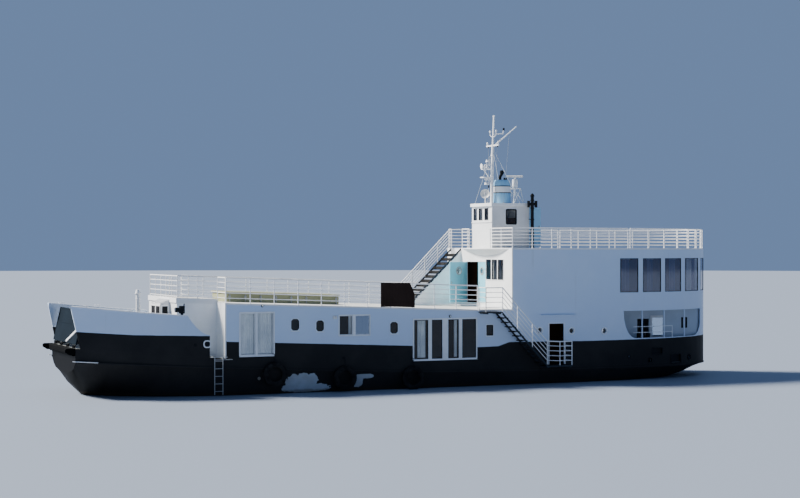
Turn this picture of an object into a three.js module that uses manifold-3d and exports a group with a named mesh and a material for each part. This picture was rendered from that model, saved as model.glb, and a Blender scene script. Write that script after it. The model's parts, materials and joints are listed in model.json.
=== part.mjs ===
// Small car ferry with an open bow, moored and lived in, at full size.
// Millimetres, +X to the bow, +Y to port, +Z up, origin amidships on the waterline.
import * as THREE from "three";
import { mergeVertices } from "three/addons/utils/BufferGeometryUtils.js";
import Module from "manifold-3d";

const wasm = await Module();
wasm.setup();

// Hull
const halfBeam = 3600;
const sternStart = -10650; // aft of here the plan is half an ellipse
const sternReach = 6500;
const bowStart = 10480; // forward of here the sides draw in
const bowEnd = 16950;
const wingEnd = 17150; // tips of the bow wings
const wingTipHalf = 2430;
const keelZ = -2250;
const strakeHeight = 60;
const strakeProud = 55;
const bowStrakeProud = 130;

// Houses
const gap = 0.3; // between pieces that touch
const plating = 60;
const deckPlate = 80;
const gapAft = 11180; // the boarding gap lies between the front house and this point
const frontHouse = 12350;
const frontHouseHalf = 2350;
const upperFront = -4040; // front face of the upper house
const aftFloorTop = 3650;
const roofTop = 6650;
const wheelhouse = { front: -4230, aft: -6350, half: 1100, wall: 50, top: 8750, roof: 150 };

// Railings: height above the deck and number of bars
const roofRail = { height: 1000, bars: 6 };
const deckRail = { height: 1160, bars: 5 };
const barSize = 26;
const postSize = 40;
const railInset = 60;
const postSpacing = 1450;

// Door leaves and their hinges
const leafThick = 45;
const leafPlay = 8;
const hingeOff = 30; // hinge axis ahead of the wall face
const hingeRadius = 18;
const hingeLength = 90;

// Lines of the ship, as x and z
const mainDeck = [[-17150, 820], [-5000, 820], [10480, 1700], [17150, 2250]];
const upperDeck = [[-17150, 3620], [-2200, 3700], [12410, 4253]];
const strake = [[-17150, 700], [-5000, 700], [2000, 830], [11000, 1330], [17150, 1670]];
const wingTop = [[12200, 3650], [14150, 3810], [17150, 4100]];

// Underwater frames: x, keel z, floor half, bilge z, bilge half, waterline z, waterline half
const frames = [
  [17150, 1350, 1500, 1400, 1950, 1480, 2180],
  [16600, 500, 500, 800, 1400, 1100, 1950],
  [16000, -100, 120, 200, 650, 700, 1350],
  [15000, -1200, 100, -700, 600, 0, 1400],
  [13500, -2000, 250, -1300, 1450, 0, 2400],
  [12000, -2200, 600, -1500, 2150, 0, 2950],
  [10480, keelZ, 1100, -1550, 2650, 0, 3250],
  [6000, keelZ, 1600, -1550, 3000, 0, 3430],
  [0, keelZ, 1700, -1550, 3050, 0, 3450],
  [-5000, keelZ, 1300, -1500, 2800, 0, 3430],
  [-8500, -2000, 700, -1300, 2200, 0, 3350],
  [-10650, -1450, 400, -950, 1700, 0, 3150],
  [-12000, -900, 250, -550, 1500, 0, 2900],
  [-13000, -420, 200, -250, 1400, 0, 2600],
  [-14000, -280, 150, -120, 1300, 100, 2300],
  [-15000, -60, 120, 80, 1100, 250, 1900],
  [-16000, 200, 100, 300, 800, 430, 1300],
  [-16600, 350, 80, 430, 560, 540, 950],
  [-17000, 480, 50, 530, 200, 590, 380],
  [-17150, 520, 30, 560, 90, 600, 150],
];

// Screw and rudder
const shaftZ = -1300;
const bossEnd = -13250;
const screwRadius = 700;
const bladeCount = 4;
const rudderX = -14550;
const rudderBossZ = -480;
const heelTop = -2130;

// Windows of the lower house: x from, x to, z from, z to, rim width, corner cut, mullions
const lowerWindows = [
  [8190, 9760, 1820, 3710, 60, 0, [[8960, 9060]]],
  [6950, 7340, 2880, 3410, 25, 90, []],
  [5740, 6120, 2820, 3320, 25, 90, []],
  [3450, 4980, 2620, 3530, 35, 0, [[4180, 4310]]],
  [2020, 2410, 2640, 3180, 25, 90, []],
  [-2080, 1180, 1400, 3250, 65, 0, [[260, 450], [-600, -290], [-1340, -1160]]],
  [-3010, -2630, 2430, 2950, 25, 30, []],
];
const rimProud = 25;

// Windows of the saloon aft: angles on the stern ellipse, in degrees
const saloonWindows = [[7.6, 18.2], [20.8, 32.5], [36, 51.3], [56, 71]];
const saloonSill = 4430;
const saloonHead = 6130;

const v3 = (x, y, z) => new THREE.Vector3(x, y, z);

// Height of a line of the ship at x.
function levelAt(line, x) {
  const last = line.length - 1;
  let i = 1;
  while (i < last && line[i][0] < x) i++;
  const [[x0, z0], [x1, z1]] = [line[i - 1], line[i]];
  return z0 + ((z1 - z0) * (x - x0)) / (x1 - x0);
}

// Half the beam at deck level.
function halfAt(x) {
  if (x > bowStart) {
    const u = (x - bowStart) / (wingEnd - bowStart);
    return halfBeam - (halfBeam - wingTipHalf) * u * u;
  }
  if (x < sternStart) return halfBeam * Math.sqrt(Math.max(0, 1 - ((sternStart - x) / sternReach) ** 2));
  return halfBeam;
}

// Plan point of the stern at an angle from its start, inset by a distance along the ellipse's axes.
function sternPoint(degrees, inset = 0) {
  const a = THREE.MathUtils.degToRad(degrees);
  return [sternStart - (sternReach - inset) * Math.sin(a), (halfBeam - inset) * Math.cos(a)];
}

const evenly = (from, to, count) =>
  Array.from({ length: count + 1 }, (_, i) => from + ((to - from) * i) / count);

// Closed solid from points and triangles, turned to face outwards.
function solidFrom(points, faces) {
  const volume = faces.reduce((sum, [a, b, c]) => {
    return sum + points[a].dot(points[b].clone().cross(points[c]));
  }, 0);
  const turned = volume < 0 ? faces.map(([a, b, c]) => [a, c, b]) : faces;
  return new wasm.Manifold(
    new wasm.Mesh({
      numProp: 3,
      vertProperties: new Float32Array(points.flatMap((p) => [p.x, p.y, p.z])),
      triVerts: new Uint32Array(turned.flat()),
    }),
  );
}

// Closed solid of a three.js geometry.
function solidOf(geometry) {
  geometry.deleteAttribute("normal");
  geometry.deleteAttribute("uv");
  const merged = mergeVertices(geometry, 1e-3);
  const position = merged.getAttribute("position");
  const points = Array.from({ length: position.count }, (_, i) =>
    new THREE.Vector3().fromBufferAttribute(position, i),
  );
  const index = merged.index.array;
  const faces = [];
  for (let i = 0; i < index.length; i += 3) faces.push([index[i], index[i + 1], index[i + 2]]);
  return solidFrom(points, faces);
}

// Triangles that close a ring of points, wound as the ring is.
function capFaces(ring) {
  const across = v3(0, 0, 0);
  ring.forEach((p, i) => across.add(p.clone().cross(ring[(i + 1) % ring.length])));
  const [ax, ay, az] = [Math.abs(across.x), Math.abs(across.y), Math.abs(across.z)];
  const flat = ring.map((p) => {
    if (ax >= ay && ax >= az) return new THREE.Vector2(p.y, p.z);
    return ay >= az ? new THREE.Vector2(p.x, p.z) : new THREE.Vector2(p.x, p.y);
  });
  const area = THREE.ShapeUtils.area(flat);
  return THREE.ShapeUtils.triangulateShape(flat, []).map((face) => {
    const same = THREE.ShapeUtils.area(face.map((i) => flat[i])) * area > 0;
    return same ? face : [face[0], face[2], face[1]];
  });
}

// Solid through a row of rings that have the same number of points.
function loft(rings, closed = false) {
  const n = rings[0].length;
  const faces = [];
  const rows = closed ? rings.length : rings.length - 1;
  for (let r = 0; r < rows; r++) {
    const next = ((r + 1) % rings.length) * n;
    for (let i = 0; i < n; i++) {
      const j = (i + 1) % n;
      faces.push([r * n + i, r * n + j, next + j], [r * n + i, next + j, next + i]);
    }
  }
  if (!closed) {
    const last = (rings.length - 1) * n;
    for (const [a, b, c] of capFaces(rings[0])) faces.push([a, c, b]);
    for (const [a, b, c] of capFaces(rings.at(-1))) faces.push([last + a, last + b, last + c]);
  }
  return solidFrom(rings.flat(), faces);
}

function box(x0, x1, y0, y1, z0, z1) {
  const geometry = new THREE.BoxGeometry(x1 - x0, y1 - y0, z1 - z0);
  return solidOf(geometry.translate((x0 + x1) / 2, (y0 + y1) / 2, (z0 + z1) / 2));
}

// Outline pushed along an axis. Its two numbers are y, z along x, x, z along y, and x, y along z.
function prism(axis, outline, from, to) {
  const shape = new THREE.Shape(outline.map(([a, b]) => new THREE.Vector2(a, b)));
  const geometry = new THREE.ExtrudeGeometry(shape, { depth: to - from, bevelEnabled: false });
  const turn = new THREE.Matrix4();
  if (axis === "x") turn.makeBasis(v3(0, 1, 0), v3(0, 0, 1), v3(1, 0, 0)).setPosition(from, 0, 0);
  if (axis === "y") turn.makeBasis(v3(1, 0, 0), v3(0, 0, 1), v3(0, -1, 0)).setPosition(0, to, 0);
  if (axis === "z") turn.setPosition(0, 0, from);
  return solidOf(geometry.applyMatrix4(turn));
}

function rod(from, to, radius, sides = 8, topRadius = radius) {
  const a = v3(...from);
  const b = v3(...to);
  const along = b.clone().sub(a);
  const geometry = new THREE.CylinderGeometry(topRadius, radius, along.length(), sides);
  const turn = new THREE.Quaternion().setFromUnitVectors(v3(0, 1, 0), along.clone().normalize());
  geometry.applyQuaternion(turn).translate(...a.add(b).multiplyScalar(0.5).toArray());
  return solidOf(geometry);
}

// Round piece about the z axis: profile as radius and z, from axis to axis.
function turned(profile, sides, [x, y, z]) {
  const points = profile.map(([r, h]) => new THREE.Vector2(r, h));
  const geometry = new THREE.LatheGeometry(points, sides);
  return solidOf(geometry.rotateX(Math.PI / 2).translate(x, y, z));
}

const join = (...solids) => solids.flat().reduce((a, b) => a.add(b));
const cut = (solid, ...tools) => tools.flat().reduce((a, b) => a.subtract(b), solid);

// A solid moved, turned or mirrored by a matrix.
function placed(solid, matrix) {
  const mesh = solid.getMesh();
  const points = [];
  for (let i = 0; i < mesh.numVert; i++) {
    const at = mesh.vertProperties.subarray(i * mesh.numProp, i * mesh.numProp + 3);
    points.push(v3(...at).applyMatrix4(matrix));
  }
  const faces = [];
  for (let i = 0; i < mesh.triVerts.length; i += 3) faces.push([...mesh.triVerts.subarray(i, i + 3)]);
  return solidFrom(points, faces);
}

const toStarboard = (solid) => placed(solid, new THREE.Matrix4().makeScale(1, -1, 1));

// Offset of a plan path to its left, mitred at its corners.
function beside(path, distance) {
  return path.map(([x, y], i) => {
    const normals = [path[i - 1], path[i + 1]].map((other, k) => {
      if (!other) return null;
      const [dx, dy] = k ? [other[0] - x, other[1] - y] : [x - other[0], y - other[1]];
      return new THREE.Vector2(-dy, dx).normalize();
    });
    const [n0, n1] = [normals[0] ?? normals[1], normals[1] ?? normals[0]];
    const mitre = n0.clone().add(n1).normalize();
    const reach = distance / mitre.dot(n1);
    return [x + mitre.x * reach, y + mitre.y * reach];
  });
}

// Section carried along a plan path: offsets to its left, each with a height worked out from x and index.
function sweep(path, section) {
  const lines = section.map(([offset, height]) =>
    beside(path, offset).map((p, i) => v3(...p, height(p[0], i))),
  );
  return loft(path.map((_, i) => lines.map((line) => line[i])));
}

// Upright plate along a plan path, between two offsets to its left.
const ribbon = (path, near, far, low, high) =>
  sweep(path, [[near, low], [near, high], [far, high], [far, low]]);

// Railing over foot points, each with the rise of its own floor: square posts, and bars at even heights.
function railing(feet, { height, bars }, sink = 0) {
  const half = postSize / 2;
  const path = feet.map(([x, y]) => [x, y]);
  const posts = feet.map(([x, y, z, floor = 0]) =>
    box(x - half, x + half, y - half, y + half, z + floor - sink, z + height - barSize / 2),
  );
  const runs = evenly(0, height, bars).slice(1).map((rise) => {
    const low = (_, i) => feet[i][2] + rise - barSize;
    return ribbon(path, -barSize / 2, barSize / 2, low, (x, i) => low(x, i) + barSize);
  });
  return join(posts, runs);
}

// Foot points along a straight run on a deck line.
function footRun(from, to, footZ, floorAt) {
  const length = Math.hypot(to[0] - from[0], to[1] - from[1]);
  const bays = Math.max(1, Math.round(length / postSpacing));
  return evenly(0, 1, bays).map((u) => {
    const x = from[0] + (to[0] - from[0]) * u;
    return [x, from[1] + (to[1] - from[1]) * u, footZ(x), floorAt(x)];
  });
}

// Foot points round the corners of a run.
const footPath = (corners, footZ, floorAt = () => 0) =>
  corners.slice(1).flatMap((to, i) => footRun(corners[i], to, footZ, floorAt).slice(i ? 1 : 0));

const onUpperDeck = (x, half = postSize / 2) => levelAt(upperDeck, x + half) + gap;
const onMainDeck = (x, half = postSize / 2) => levelAt(mainDeck, x + half) + gap;
const underUpperDeck = (x) => levelAt(upperDeck, x) - deckPlate - gap;
const overMainDeck = (x) => levelAt(mainDeck, x) + gap;

// Outline of a window with its corners cut.
function windowOutline(a0, a1, b0, b1, corner) {
  if (!corner) return [[a0, b0], [a1, b0], [a1, b1], [a0, b1]];
  const c = corner;
  const right = [[a1 - c, b0], [a1, b0 + c], [a1, b1 - c], [a1 - c, b1]];
  return [[a0 + c, b0], ...right, [a0 + c, b1], [a0, b1 - c], [a0, b0 + c]];
}

// Door leaf on lift-off hinges, in a frame whose z axis is the hinge, with u along the closed leaf.
function leaf(width, height, hole) {
  const u0 = hingeRadius - 5;
  const face = -hingeOff - 5;
  const plate = box(u0, width - leafPlay, face - leafThick, face, leafPlay, height - leafPlay);
  const hinges = hingeHeights(height).map((z) =>
    join(
      rod([0, 0, z + gap], [0, 0, z + hingeLength], hingeRadius, 8),
      box(u0, u0 + 60, face - 10, 0, z + gap, z + hingeLength),
    ),
  );
  const body = join(plate, hinges);
  if (!hole) return body;
  const [u, z, radius] = hole;
  return cut(body, rod([u, face - leafThick - 5, z], [u, face + 5, z], radius, 16));
}
const hingeHeights = (height) => [height * 0.15, height * 0.8];
const hingeKnuckles = (height) =>
  hingeHeights(height).map((z) =>
    join(
      rod([0, 0, z - hingeLength], [0, 0, z], hingeRadius, 8),
      box(-hingeRadius + 2, -4, -hingeOff - 4, 0, z - hingeLength, z),
    ),
  );

// Doors: hinge point, direction of the closed leaf, outward direction, size, opening at rest.
const frontDoor = { starboard: -1345, port: 790, foot: 3890, height: 2060 };
const frontHinge = upperFront + hingeOff;
const doors = {
  doorFrontLeft: {
    at: [frontHinge, frontDoor.starboard - 5, frontDoor.foot],
    u: [0, 1, 0],
    v: [1, 0, 0],
    width: 1315,
    height: frontDoor.height,
    open: 68,
    hole: [650, 1600, 170],
  },
  doorFrontRight: {
    at: [frontHinge, frontDoor.port + 5, frontDoor.foot],
    u: [0, -1, 0],
    v: [1, 0, 0],
    width: 835,
    height: frontDoor.height,
    open: 0,
    hole: [420, 1600, 170],
  },
  doorSide: {
    at: [-6085, halfBeam - plating - hingeOff, 870],
    u: [-1, 0, 0],
    v: [0, -1, 0],
    width: 835,
    height: 2070,
    open: 90,
  },
  doorWheelhouse: {
    at: [wheelhouse.aft - hingeOff, 1028, roofTop + 60],
    u: [0, -1, 0],
    v: [-1, 0, 0],
    width: 698,
    height: 1990,
    open: 90,
  },
};
function doorFrame({ at, u, v }, open = 0) {
  const basis = new THREE.Matrix4().makeBasis(v3(...u), v3(...v), v3(0, 0, 1)).setPosition(...at);
  return basis.multiply(new THREE.Matrix4().makeRotationZ(THREE.MathUtils.degToRad(open)));
}
const doorLeaf = (door) => placed(leaf(door.width, door.height, door.hole), doorFrame(door, door.open));
const doorKnuckles = (door) => hingeKnuckles(door.height).map((k) => placed(k, doorFrame(door)));

const finishes = {
  white: { color: 0xe4e8ea, roughness: 0.45, metalness: 0 },
  black: { color: 0x14171b, roughness: 0.5, metalness: 0 },
  grey: { color: 0xaab1b8, roughness: 0.55, metalness: 0 },
  slate: { color: 0x4b5560, roughness: 0.55, metalness: 0 },
  blue: { color: 0x5fa8cf, roughness: 0.45, metalness: 0 },
  paleBlue: { color: 0x86c5da, roughness: 0.45, metalness: 0 },
  deck: { color: 0x8d9188, roughness: 0.8, metalness: 0 },
  tread: { color: 0x26282a, roughness: 0.8, metalness: 0.3 },
  brown: { color: 0x33251f, roughness: 0.75, metalness: 0 },
  olive: { color: 0x7f8a45, roughness: 0.8, metalness: 0 },
  rubber: { color: 0x101112, roughness: 0.9, metalness: 0 },
  bronze: { color: 0x9a7440, roughness: 0.35, metalness: 1 },
};
const ship = new THREE.Group();

function add(name, solid, finish) {
  const { vertProperties, triVerts, numProp, numVert } = solid.getMesh();
  const position = new Float32Array(numVert * 3);
  for (let i = 0; i < numVert; i++) {
    position.set(vertProperties.subarray(i * numProp, i * numProp + 3), i * 3);
  }
  const geometry = new THREE.BufferGeometry();
  geometry.setAttribute("position", new THREE.BufferAttribute(position, 3));
  geometry.setIndex(new THREE.BufferAttribute(triVerts, 1));
  const material = new THREE.MeshStandardMaterial({ ...finishes[finish], flatShading: true });
  const mesh = new THREE.Mesh(geometry, material);
  mesh.name = name;
  ship.add(mesh);
}

// Hull
const sternAngles = [...evenly(0, 84, 12), 87];
const hullStations = [
  ...sternAngles.map((a) => sternPoint(a)[0]).reverse(),
  ...[-8500, -5000, 0, 6000, bowStart, gapAft],
  ...[12000, 12800, 13500, 14250, 15000, 15500, 16000, 16300, 16650, bowEnd],
];
function frameAt(x) {
  const i = Math.max(1, frames.findIndex(([at]) => at <= x));
  const [a, b] = [frames[i - 1], frames[i]];
  const u = (a[0] - x) / (a[0] - b[0]);
  return a.map((value, k) => value + (b[k] - value) * u);
}
function hullRing(x) {
  const [, keel, floorHalf, bilgeZ, bilgeHalf, waterZ, waterHalf] = frameAt(x);
  const deckHalf = halfAt(x);
  const u = Math.max(0, (x - bowStart) / (wingEnd - bowStart));
  const side = deckHalf * (1 - 0.035 * u * u);
  const proud = strakeProud + (bowStrakeProud - strakeProud) * u;
  const top = levelAt(strake, x);
  const half = [
    [Math.min(floorHalf, side * 0.3), keel],
    [Math.min(bilgeHalf, side * 0.7), bilgeZ],
    [Math.min(waterHalf, side * 0.92), waterZ],
    [side, top - strakeHeight],
    [side + proud, top - strakeHeight],
    [side + proud, top],
    [side, top],
    [deckHalf, levelAt(mainDeck, x)],
  ];
  return [...half, ...half.map(([y, z]) => [-y, z]).reverse()].map(([y, z]) => v3(x, y, z));
}

// Gate across the bow: hinge line, lean aft, and hinges along it
const gate = { x: 16900, z: 2345, half: 2320, height: 1600, thick: 60, lean: 12.5, hingeRadius: 40 };
const gateHinges = [-1900, -650, 650, 1900];
const gateKnuckle = 150;
const lugWidth = 110;

const skegOutline = [[-7500, keelZ + 10], [-13100, keelZ + 10], [-13100, -350], [-7500, -1500]];
const skeg = prism("y", skegOutline, -120, 120);
const sternTube = rod([-12300, 0, shaftZ], [bossEnd, 0, shaftZ], 190, 16);
const heel = box(-14750, -13000, -80, 80, keelZ, heelTop);
const rudderBoss = rod([rudderX, 0, rudderBossZ], [rudderX, 0, 0], 130, 16);
const gateLugs = gateHinges.flatMap((y) =>
  [-1, 1].map((side) => {
    const near = y + side * (gateKnuckle / 2 + gap);
    const far = near + side * lugWidth;
    const [y0, y1] = [Math.min(near, far), Math.max(near, far)];
    return join(
      rod([gate.x, y0, gate.z], [gate.x, y1, gate.z], gate.hingeRadius, 10),
      box(gate.x - 35, gate.x + 35, y0, y1, levelAt(mainDeck, gate.x) - 40, gate.z),
    );
  }),
);
add("hull", join(loft(hullStations.map(hullRing)), skeg, sternTube, heel, rudderBoss, gateLugs), "black");

// Landing nose at the bow, with a guide horn at each side
const hornEnd = 17400;
const noseEnd = 17150;
const hornHalf = 2330;
const noseFoot = bowEnd + gap;
const noseTop = levelAt(mainDeck, bowEnd);
const noseFace = [[noseEnd - 90, 1900], [noseEnd, 2020], [noseEnd, 2190], [noseEnd - 50, noseTop]];
const nose = [[noseFoot, 1900], ...noseFace, [noseFoot, noseTop]];
const hornFace = [[hornEnd - 200, 1950], [hornEnd, 2080], [hornEnd, 2190], [hornEnd - 70, noseTop]];
const horn = [[noseFoot, 1950], ...hornFace, [noseFoot, noseTop]];
const horns = [-1, 1].map((side) => prism("y", horn, side * hornHalf - 90, side * hornHalf + 90));
add("bow_nose", join(prism("y", nose, -hornHalf, hornHalf), horns), "black");

const gateTurn = new THREE.Matrix4()
  .makeRotationY(THREE.MathUtils.degToRad(-gate.lean))
  .setPosition(gate.x, 0, gate.z);
const gateRibs = [-1500, -500, 500, 1500].map((y) => box(-90, 0, y - 25, y + 25, 80, gate.height - 40));
const gateKnuckles = gateHinges.map((y) =>
  join(
    rod([0, y - gateKnuckle / 2, 0], [0, y + gateKnuckle / 2, 0], gate.hingeRadius, 10),
    box(-gate.thick / 2, gate.thick / 2, y - gateKnuckle / 2, y + gateKnuckle / 2, 0, 70),
  ),
);
const gatePlate = box(-gate.thick / 2, gate.thick / 2, -gate.half, gate.half, 50, gate.height);
add("bow_gate", placed(join(gatePlate, gateRibs, gateKnuckles), gateTurn), "slate");
const stayX = gate.thick / 2 + gap;
const stay = prism("x", [[2200, 780], [2280, 700], [560, 80], [480, 160]], stayX, stayX + 50);
add("gate_stay", placed(stay, gateTurn), "white");

// Bow wings
function wingTopAt(x) {
  const [low, foot] = [2750, 12200];
  if (x >= foot) return levelAt(wingTop, x);
  return low + (wingTop[0][1] - low) * Math.max(0, (x - gapAft) / (foot - gapAft)) ** 1.8;
}
const wingStations = [wingEnd, 16600, 16000, 15300, 14500, 13700, 12900];
wingStations.push(12200, 12000, 11800, 11600, 11400, gapAft);
const wingPath = wingStations.map((x) => [x, halfAt(x)]);
const wingCap = { outer: -30, inner: 110, plate: 70, deep: 50 };
const capTop = (_, i) => wingTopAt(wingStations[i]);
const capLow = (_, i) => wingTopAt(wingStations[i]) - wingCap.deep;
const wingSection = [
  [0, overMainDeck],
  [0, capLow],
  [wingCap.outer, capLow],
  [wingCap.outer, capTop],
  [wingCap.inner, capTop],
  [wingCap.inner, capLow],
  [wingCap.plate, capLow],
  [wingCap.plate, overMainDeck],
];
const wingRake = prism("y", [[16685, 1900], [17190, 4190], [17500, 4190], [17500, 1900]], 2000, 3700);
const wing = cut(sweep(wingPath, wingSection), wingRake);
add("bulwark_port", wing, "white");
add("bulwark_starboard", toStarboard(wing), "white");

// Front house with the front wall of the lower house on each side of it
const frontPath = [
  [bowStart, -halfBeam],
  [bowStart, -frontHouseHalf],
  [frontHouse, -frontHouseHalf],
  [frontHouse, frontHouseHalf],
  [bowStart, frontHouseHalf],
  [bowStart, halfBeam],
];
const frontWindows = [-1500, 1500].map((y) =>
  box(frontHouse - 100, frontHouse + 100, y - 300, y + 300, 2900, 3550),
);
const frontWalls = ribbon(frontPath, 0, plating, overMainDeck, underUpperDeck);
add("front_house", cut(frontWalls, frontWindows), "white");

// Slab whose bottom lies under the upper deck line, with its top at a rise over it
function upperSlab(stations, half, rise = 0) {
  return loft(
    stations.map((x) => {
      const [low, top] = [levelAt(upperDeck, x) - deckPlate, levelAt(upperDeck, x) + rise];
      return [v3(x, half, low), v3(x, half, top), v3(x, -half, top), v3(x, -half, low)];
    }),
  );
}
const frontDeckAft = upperFront - plating;
const houseRise = 150; // the front house's roof stands this much over the deck line
const houseEaves = 40;
const houseRoofEnd = frontHouse + houseEaves;
const houseRoof = upperSlab([bowStart + gap, houseRoofEnd], frontHouseHalf + houseEaves, houseRise);
add("front_house_roof", houseRoof, "deck");
add("front_deck", upperSlab([bowStart, -2200, frontDeckAft], halfBeam), "deck");

// Lower side walls
const lowerPath = [bowStart - plating - gap, -2200, frontDeckAft].map((x) => [x, halfBeam]);
const lowerRims = lowerWindows.map(([x0, x1, z0, z1, rim, corner]) =>
  prism(
    "y",
    windowOutline(x0 - rim, x1 + rim, z0 - rim, z1 + rim, corner),
    halfBeam - 10,
    halfBeam + rimProud,
  ),
);
const lowerHoles = lowerWindows.map(([x0, x1, z0, z1, , corner]) =>
  prism("y", windowOutline(x0, x1, z0, z1, corner), halfBeam - 200, halfBeam + 200),
);
const lowerMullions = lowerWindows.flatMap(([, , z0, z1, , , mullions]) =>
  mullions.map(([x0, x1]) => box(x0, x1, halfBeam - plating, halfBeam + rimProud, z0 - 10, z1 + 10)),
);
const lowerPlate = ribbon(lowerPath, 0, plating, overMainDeck, underUpperDeck);
const lowerSide = join(cut(join(lowerPlate, lowerRims), lowerHoles), lowerMullions);
add("side_port_forward", lowerSide, "white");
add("side_starboard_forward", toStarboard(lowerSide), "white");

// Aft side walls, from the main deck to the roof and round the stern
const roofUnder = roofTop - deckPlate;
const aftWallPath = [
  [frontDeckAft - gap, halfBeam],
  [-5000, halfBeam],
  ...sternAngles.slice(0, -1).map((a) => sternPoint(a)),
  sternPoint(90),
  sternPoint(96),
];
const aftPlate = ribbon(aftWallPath, 0, plating, overMainDeck, () => roofUnder - gap);
const recess = { front: -10350, foot: -11050, aft: -15980, aftFoot: -15190, sill: 2120, head: 3500 };
function quarter(from, to, steps, bulgeAtStart) {
  return evenly(0, 90, steps).map((degrees) => {
    const a = THREE.MathUtils.degToRad(degrees);
    const [u, w] = bulgeAtStart ? [1 - Math.cos(a), Math.sin(a)] : [Math.sin(a), 1 - Math.cos(a)];
    return [from[0] + (to[0] - from[0]) * u, from[1] + (to[1] - from[1]) * w];
  });
}
const recessOutline = [
  ...quarter([recess.front, recess.head], [recess.foot, recess.sill], 5, true),
  ...quarter([recess.aftFoot, recess.sill], [recess.aft, 2800], 4, false),
  [recess.aft, recess.head],
];
const recessHole = prism("y", recessOutline, 500, 4200);
const stanchions = [7.3, 20.4, 35.8].map((a) => {
  const [x, y] = sternPoint(a, 30);
  return box(x - 25, x + 25, y - 25, y + 25, recess.sill - 40, recess.head + 40);
});
const saloonHoles = [
  box(-11210, -10150, halfBeam - 300, halfBeam + 300, saloonSill, saloonHead),
  ...saloonWindows.map(([from, to]) => {
    const [[xa, ya], [xb, yb]] = [sternPoint(from), sternPoint(to)];
    const width = Math.hypot(xb - xa, yb - ya);
    const pane = new THREE.BoxGeometry(width, 700, saloonHead - saloonSill);
    pane.rotateZ(Math.atan2(yb - ya, xb - xa));
    return solidOf(pane.translate((xa + xb) / 2, (ya + yb) / 2, (saloonSill + saloonHead) / 2));
  }),
];
const portholes = [[-5560, 2620], [-7350, 2570], [-9220, 2530]];
const acrossSide = (x, z, near, far, radius) =>
  rod([x, halfBeam + near, z], [x, halfBeam + far, z], radius, 12);
const portRings = portholes.map(([x, z]) => acrossSide(x, z, -10, 20, 175));
const portHoles = portholes.map(([x, z]) => acrossSide(x, z, -200, 200, 125));
const { doorFrontLeft, doorFrontRight, doorSide, doorWheelhouse } = doors;
const sideDoorHole = box(-6920, -6090, halfBeam - 200, halfBeam + 200, 870, 2940);
const eyebrow = box(-7560, -5650, halfBeam - 20, halfBeam + 130, 3345, 3375);
// Mooring and freeing ports low in the stern: x, z, half width, half height or 0 for a round one
const sternPorts = [
  [-12430, 1440, 320, 150],
  [-13750, 995, 350, 220],
  [-11950, 990, 115, 0],
  [-14830, 1020, 130, 0],
  [-10680, 1200, 60, 0],
];
const sternPortHoles = sternPorts.map(([x, z, half, tall]) =>
  tall
    ? box(x - half, x + half, 1500, 4000, z - tall, z + tall)
    : rod([x, 1500, z], [x, 4000, z], half, 10),
);
const pastCentre = box(-18000, -16000, -2000, gap / 2, 0, 7000);
const aftShell = cut(
  join(aftPlate, portRings),
  recessHole,
  saloonHoles,
  portHoles,
  sternPortHoles,
  pastCentre,
);
const aftSide = join(aftShell, stanchions);
add("side_port_aft", join(cut(join(aftSide, eyebrow), sideDoorHole), doorKnuckles(doorSide)), "white");
add("side_starboard_aft", toStarboard(aftSide), "white");
add("door_side", doorLeaf(doorSide), "grey");

// Bulkhead that closes the lower house ahead of the open mooring deck
const bulkheadTop = aftFloorTop - deckPlate - gap;
const sternWallInside = (x) => halfAt(x) - plating - 2;
const bulkheadPath = [
  [-10250, sternWallInside(-10250)],
  [-10250, 2200],
  [-14600, 2200],
  [-14600, -2200],
  [-10250, -2200],
  [-10250, -sternWallInside(-10250)],
];
const bulkheadDoors = [-1, 1].map((side) =>
  box(-12700, -12000, side * 2200 - 200, side * 2200 + 200, 1050, 3020),
);
const bulkheadPlate = ribbon(bulkheadPath, -plating, 0, overMainDeck, () => bulkheadTop);
add("recess_bulkhead", cut(bulkheadPlate, bulkheadDoors), "grey");
const bitts = join(
  [-11700, -12250].map((x) => rod([x, 2870, onMainDeck(x, 200)], [x, 2870, 2330], 105, 10)),
  box(-12450, -11500, 2720, 3020, onMainDeck(-11500, 0), 860),
  box(-12400, -11550, 2830, 2910, 1900, 2000),
);
add("bitts_port", bitts, "black");
add("bitts_starboard", toStarboard(bitts), "black");

// Floor and roof of the upper house
const insideHalf = halfBeam - plating - gap;
function sternOutline(frontX, inset, step) {
  const arc = evenly(0, 180, step).map((a) => sternPoint(a, inset));
  return [[frontX, halfBeam - inset], ...arc, [frontX, inset - halfBeam]];
}
const aftFloorOutline = sternOutline(frontDeckAft - gap, halfBeam - insideHalf + 12, 28);
add("aft_floor", prism("z", aftFloorOutline, aftFloorTop - deckPlate, aftFloorTop), "deck");
add("roof_deck", prism("z", sternOutline(upperFront, 0, 30), roofUnder, roofTop), "deck");

// Front wall of the upper house
const frontPanes = [[860, 1420], [1490, 2070], [2140, 2720]];
const { starboard: doorFrom, port: doorTo, foot: doorFoot, height: doorHeight } = frontDoor;
const frontWallFoot = levelAt(upperDeck, upperFront) + gap;
const [frontNear, frontFar] = [frontDeckAft - 50, upperFront + 50];
const frontWall = cut(
  box(frontDeckAft, upperFront, -halfBeam, halfBeam, frontWallFoot, roofUnder - gap),
  box(frontNear, frontFar, doorFrom, doorTo, doorFoot, doorFoot + doorHeight),
  frontPanes.map(([y0, y1]) => box(frontNear, frontFar, y0, y1, 5080, 6080)),
);
add("upper_front", join(frontWall, doorKnuckles(doorFrontLeft), doorKnuckles(doorFrontRight)), "white");
add("door_front_left", doorLeaf(doorFrontLeft), "paleBlue");
add("door_front_right", doorLeaf(doorFrontRight), "paleBlue");

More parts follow.
